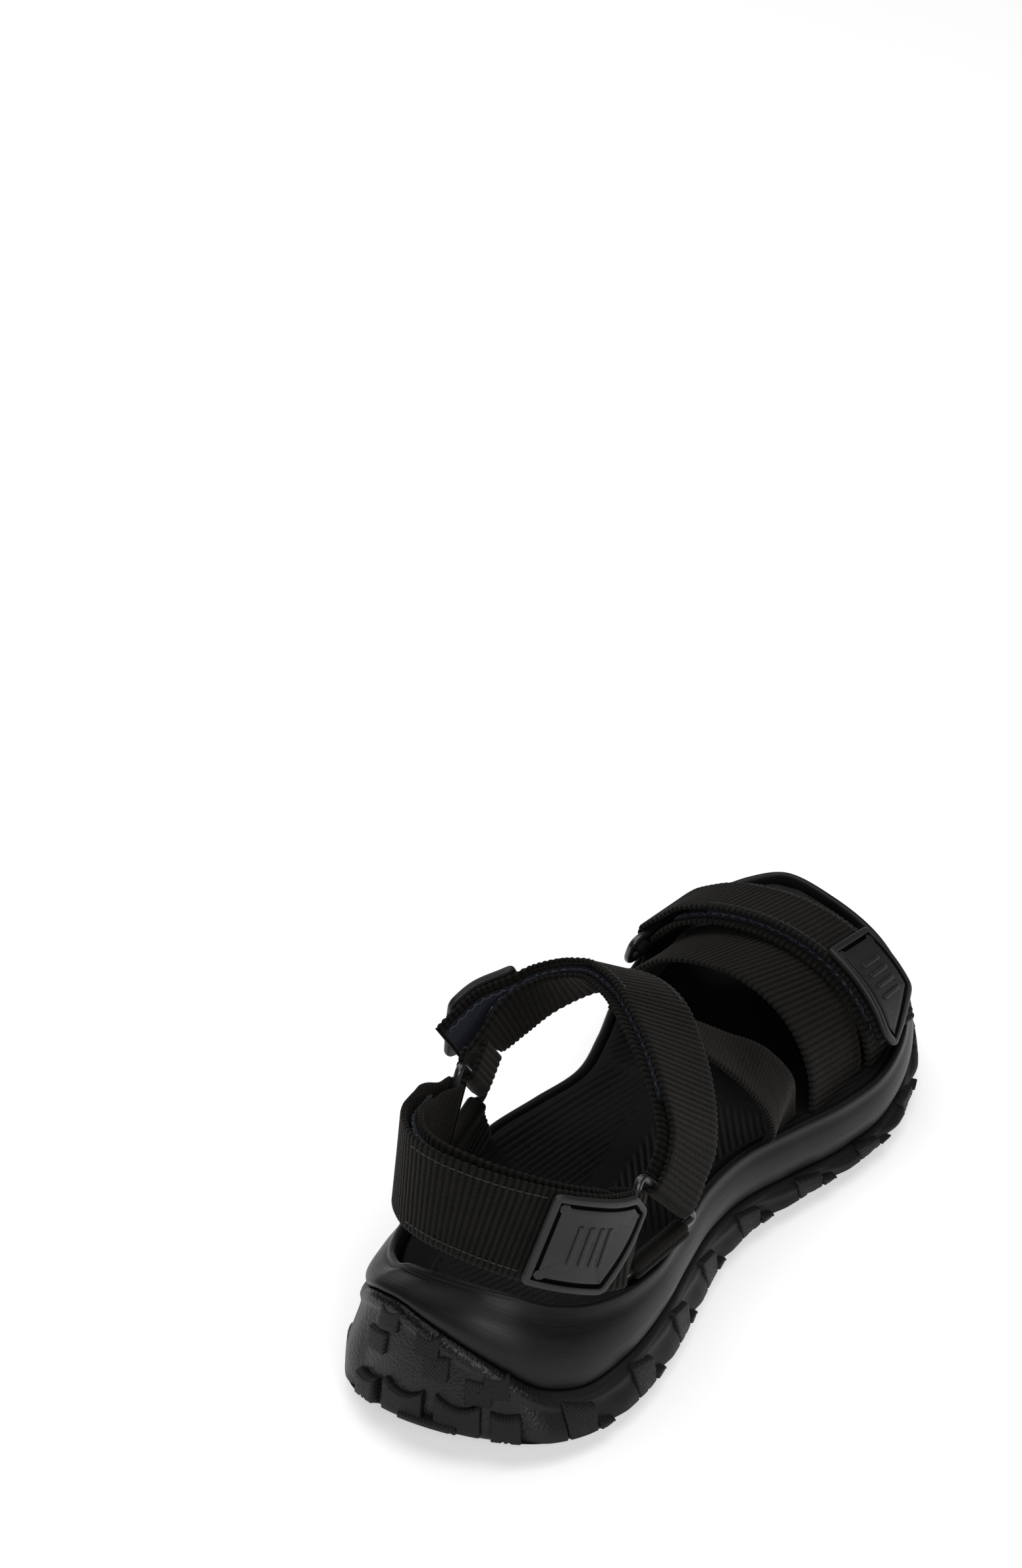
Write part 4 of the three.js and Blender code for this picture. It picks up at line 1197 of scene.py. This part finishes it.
CLOSURES = {
    "heel": {"path": heel_path, "flap": heel_flap, "width": ANKLE_WIDTH, "edges": taper(24, ANKLE_WIDTH),
             "tape": (62, 24), "pad": 40, "slant": 1, "bodies": ("heel_base", "heel_tip"), "split": 72,
             "flap_width": ANKLE_WIDTH},
    "instep": {"path": instep_path, "flap": instep_flap, "width": INSTEP_WIDTH,
               "edges": taper(25, INSTEP_WIDTH), "tape": (34, 24), "pad": 33, "slant": -1,
               "bodies": ("instep_base", "instep_tip"), "split": 70, "flap_width": INSTEP_WIDTH - 1},
    "front": {"path": closure_path, "flap": closure_flap, "width": FRONT_WIDTH,
              "edges": taper(27, FRONT_WIDTH), "tape": (16, 12), "pad": 36, "slant": -1,
              "bodies": ("front_base", "front_tip"), "split": 30, "flap_width": FRONT_WIDTH - 1},
}


def zigzag(start, end, low, high, step=1.7):
    """Route of a zigzag stitch between two lines along a strap."""
    count = max(2, int((end - start) / step))
    return [(start + (end - start) * k / count, high if k % 2 else low) for k in range(count + 1)]


def fixed_thread(name, path, routes, height, material, **shape):
    sewn = Build()
    for route in routes:
        stitch_line(sewn, path, route, height, **shape)
    made = sewn.piece(name, "sandal", [material])


def flap_thread(name, flap, routes, height, material, bodies, split, **shape):
    sewn = Build()
    for route in routes:
        stitch_line(sewn, flap, route, height, **shape)
    made = sewn.piece(name, None, [material])
    blend_flap(made, flap, bodies, split)


def closure(name, path, flap, width, edges, tape, pad, slant, bodies, split, flap_width):
    """One strap with its tape, the flap that folds back over it, the pull tab and all their stitching."""
    tip = bodies[-1]
    strap_piece(f"{name}_strap_webbing", path, 0, path.length, edges, f"{name}_strap")
    pile = {"thick": TAPE, "pitch": 1.3, "depth": 0.1, "step": 0.5, "columns": 9}
    strap_piece(f"{name}_loop_tape", path, tape[0], path.length - tape[1], straight(width - 5),
                f"{name}_loop_patch", loop_mat, "loop_tape", low=LOOP_LOW, **pile)
    flap_nodes = [f"{name}_flap_base", f"{name}_flap_tip"]
    bent_piece(f"{name}_flap_webbing", flap, 0, flap.length - 3, narrow_at_fold(flap_width), flap_nodes,
               bodies, split)
    bent_piece(f"{name}_hook_tape", flap, split + 4, flap.length - 4, straight(width - 5),
               [f"{name}_hook_patch"], bodies, split, hook_mat, "hook_tape", low=-1.9 * GAP - TAPE, **pile)
    pull_tab(name, flap, pad, (width - 0.5) / 2, slant, tip)
    half = width / 2 - 2.6
    tight = {"spacing": 1.7, "length": 1.6, "radius": 0.17}
    fixed_thread(f"{name}_loop_stitches", path,
                 [zigzag(tape[0] + 1, path.length - tape[1] - 1, side * (half - 1.3), side * (half + 0.1))
                  for side in (1, -1)], LOOP_LOW + TAPE - 0.05, zigzag_mat, **tight)
    flap_thread(f"{name}_hook_stitches", flap,
                [zigzag(split + 5, flap.length - 5, side * (half - 1.3), side * (half + 0.1))
                 for side in (1, -1)], -1.9 * GAP - TAPE - 0.05, zigzag_mat, bodies, split, **tight)
    seam = [[(split + 5, side * (half - 0.4)), (flap.length - pad - 0.5, side * (half - 0.4))]
            for side in (1, -1)]
    flap_thread(f"{name}_flap_stitches", flap, seam, WEBBING - 0.05, thread_mat, bodies, split,
                spacing=2.3, length=1.9, radius=0.24)
    across = [[(s, -half), (s, half)] for s in (21.0, 23.6)]
    fixed_thread(f"{name}_sewn_end_stitches", path, across, WEBBING - 0.05, thread_mat,
                 spacing=2.2, length=1.8, radius=0.26)


def pull_tab(name, flap, reach, half, slant, body):
    """Moulded rubber tab with a raised rim, a sunk border line in near-black painted shade, and plain grip
    bars.
    """
    start, low = flap.length - reach, WEBBING + 2.5 * GAP

    def surface(s, w, height):
        return flap.surface(start + s, w, low + height * PAD / 1.3)

    points, faces, coords = patch(pad_outline(reach, half, slant), PAD_PROFILE, surface, 8)
    made = body_mesh(f"{name}_pull_tab", points, faces, body, [pad_mat, groove_shade_mat], coords)
    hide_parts(f"{name}_pad")
    count = len(pad_outline(reach, half, slant))
    # the sunk border rings take the near-black material: painted shade in the groove
    for ring in (6, 7, 8):
        for i in range(count):
            made.data.polygons[ring * count + i].material_index = 1
    bars = Build()
    for k in range(4):
        s = reach * 0.26 + k * 3.6
        outline = rounded_outline([(s, -half * 0.42), (s + 1.7, -half * 0.42), (s + 1.7, half * 0.42),
                                   (s, half * 0.42)], 0.8, 1.0)
        bars.add(*patch(outline, [(0, 0.9), (0, 1.15), (0.2, 1.32), (0.5, 1.36)], surface, 1))
    made = bars.piece(f"{name}_tab_bars", body, [pad_mat])


for name, shape in CLOSURES.items():
    closure(name, **shape)


# ---- studio ---------------------------------------------------------------------------------
def camera():
    """Long lens from behind the outer side of the heel, looking down at the sandal."""
    azimuth, elevation, distance = math.radians(26.96), math.radians(34.83), 1769.5
    aim_up = math.radians(3.443)
    back = vec(math.sin(azimuth) * math.cos(elevation), -math.cos(azimuth) * math.cos(elevation),
               math.sin(elevation))
    right = vec(math.cos(azimuth), math.sin(azimuth), 0)
    up = np.cross(back, right)
    place = vec(0, 144, 25) + back * distance - right * 39.85 + up * 5.44
    data = bpy.data.cameras.new("camera")
    data.lens = 127.98
    data.sensor_width = 36
    data.clip_start, data.clip_end = 0.05, 50
    made = bpy.data.objects.new("camera", data)
    bpy.context.scene.collection.objects.link(made)
    made.location = (place - ORIGIN) / 1000
    direction = -back * math.cos(aim_up) + up * math.sin(aim_up)
    made.rotation_euler = Vector(direction).to_track_quat("-Z", "Y").to_euler()
    bpy.context.scene.camera = made


def floor():
    mesh = bpy.data.meshes.new("floor")
    size = 6.0
    mesh.from_pydata([(-size, -size, 0), (size, -size, 0), (size, size, 0), (-size, size, 0)], [],
                     [(0, 1, 2, 3)])
    s = Shader("floor_paper")
    fine = s.noise(s.place((1, 1, 1)), 400, 2)
    s.finish((0.7, 0.7, 0.7), s.ramp(fine, 0.85, 0.95), s.bump(fine, 0.02, 0.0002), Specular_IOR_Level=0.1,
             Emission_Color=(1, 1, 1, 1), Emission_Strength=0.5)
    mesh.materials.append(s.material)
    made = bpy.data.objects.new("floor", mesh)
    bpy.context.scene.collection.objects.link(made)


def area_light(name, place, size, power, colour=(1, 1, 1)):
    data = bpy.data.lights.new(name, "AREA")
    data.shape = "RECTANGLE"
    data.size, data.size_y = size
    data.energy = power
    data.color = colour
    made = bpy.data.objects.new(name, data)
    bpy.context.scene.collection.objects.link(made)
    made.location = place
    made.rotation_euler = (-Vector(place)).to_track_quat("-Z", "Y").to_euler()


def studio():
    world = bpy.data.worlds.new("studio")
    bpy.context.scene.world = world
    world.use_nodes = True
    world.node_tree.nodes["Background"].inputs[0].default_value = (1, 1, 1, 1)
    world.node_tree.nodes["Background"].inputs[1].default_value = 0.05
    area_light("overhead", (0.0, 0.1, 1.9), (2.2, 2.2), 30)
    area_light("key", (0.75, -1.1, 0.75), (0.7, 0.6), 9)
    area_light("rim", (-1.0, 0.5, 0.8), (0.6, 0.6), 3)
    bpy.context.scene.view_settings.view_transform = "Standard"


camera()
floor()
studio()
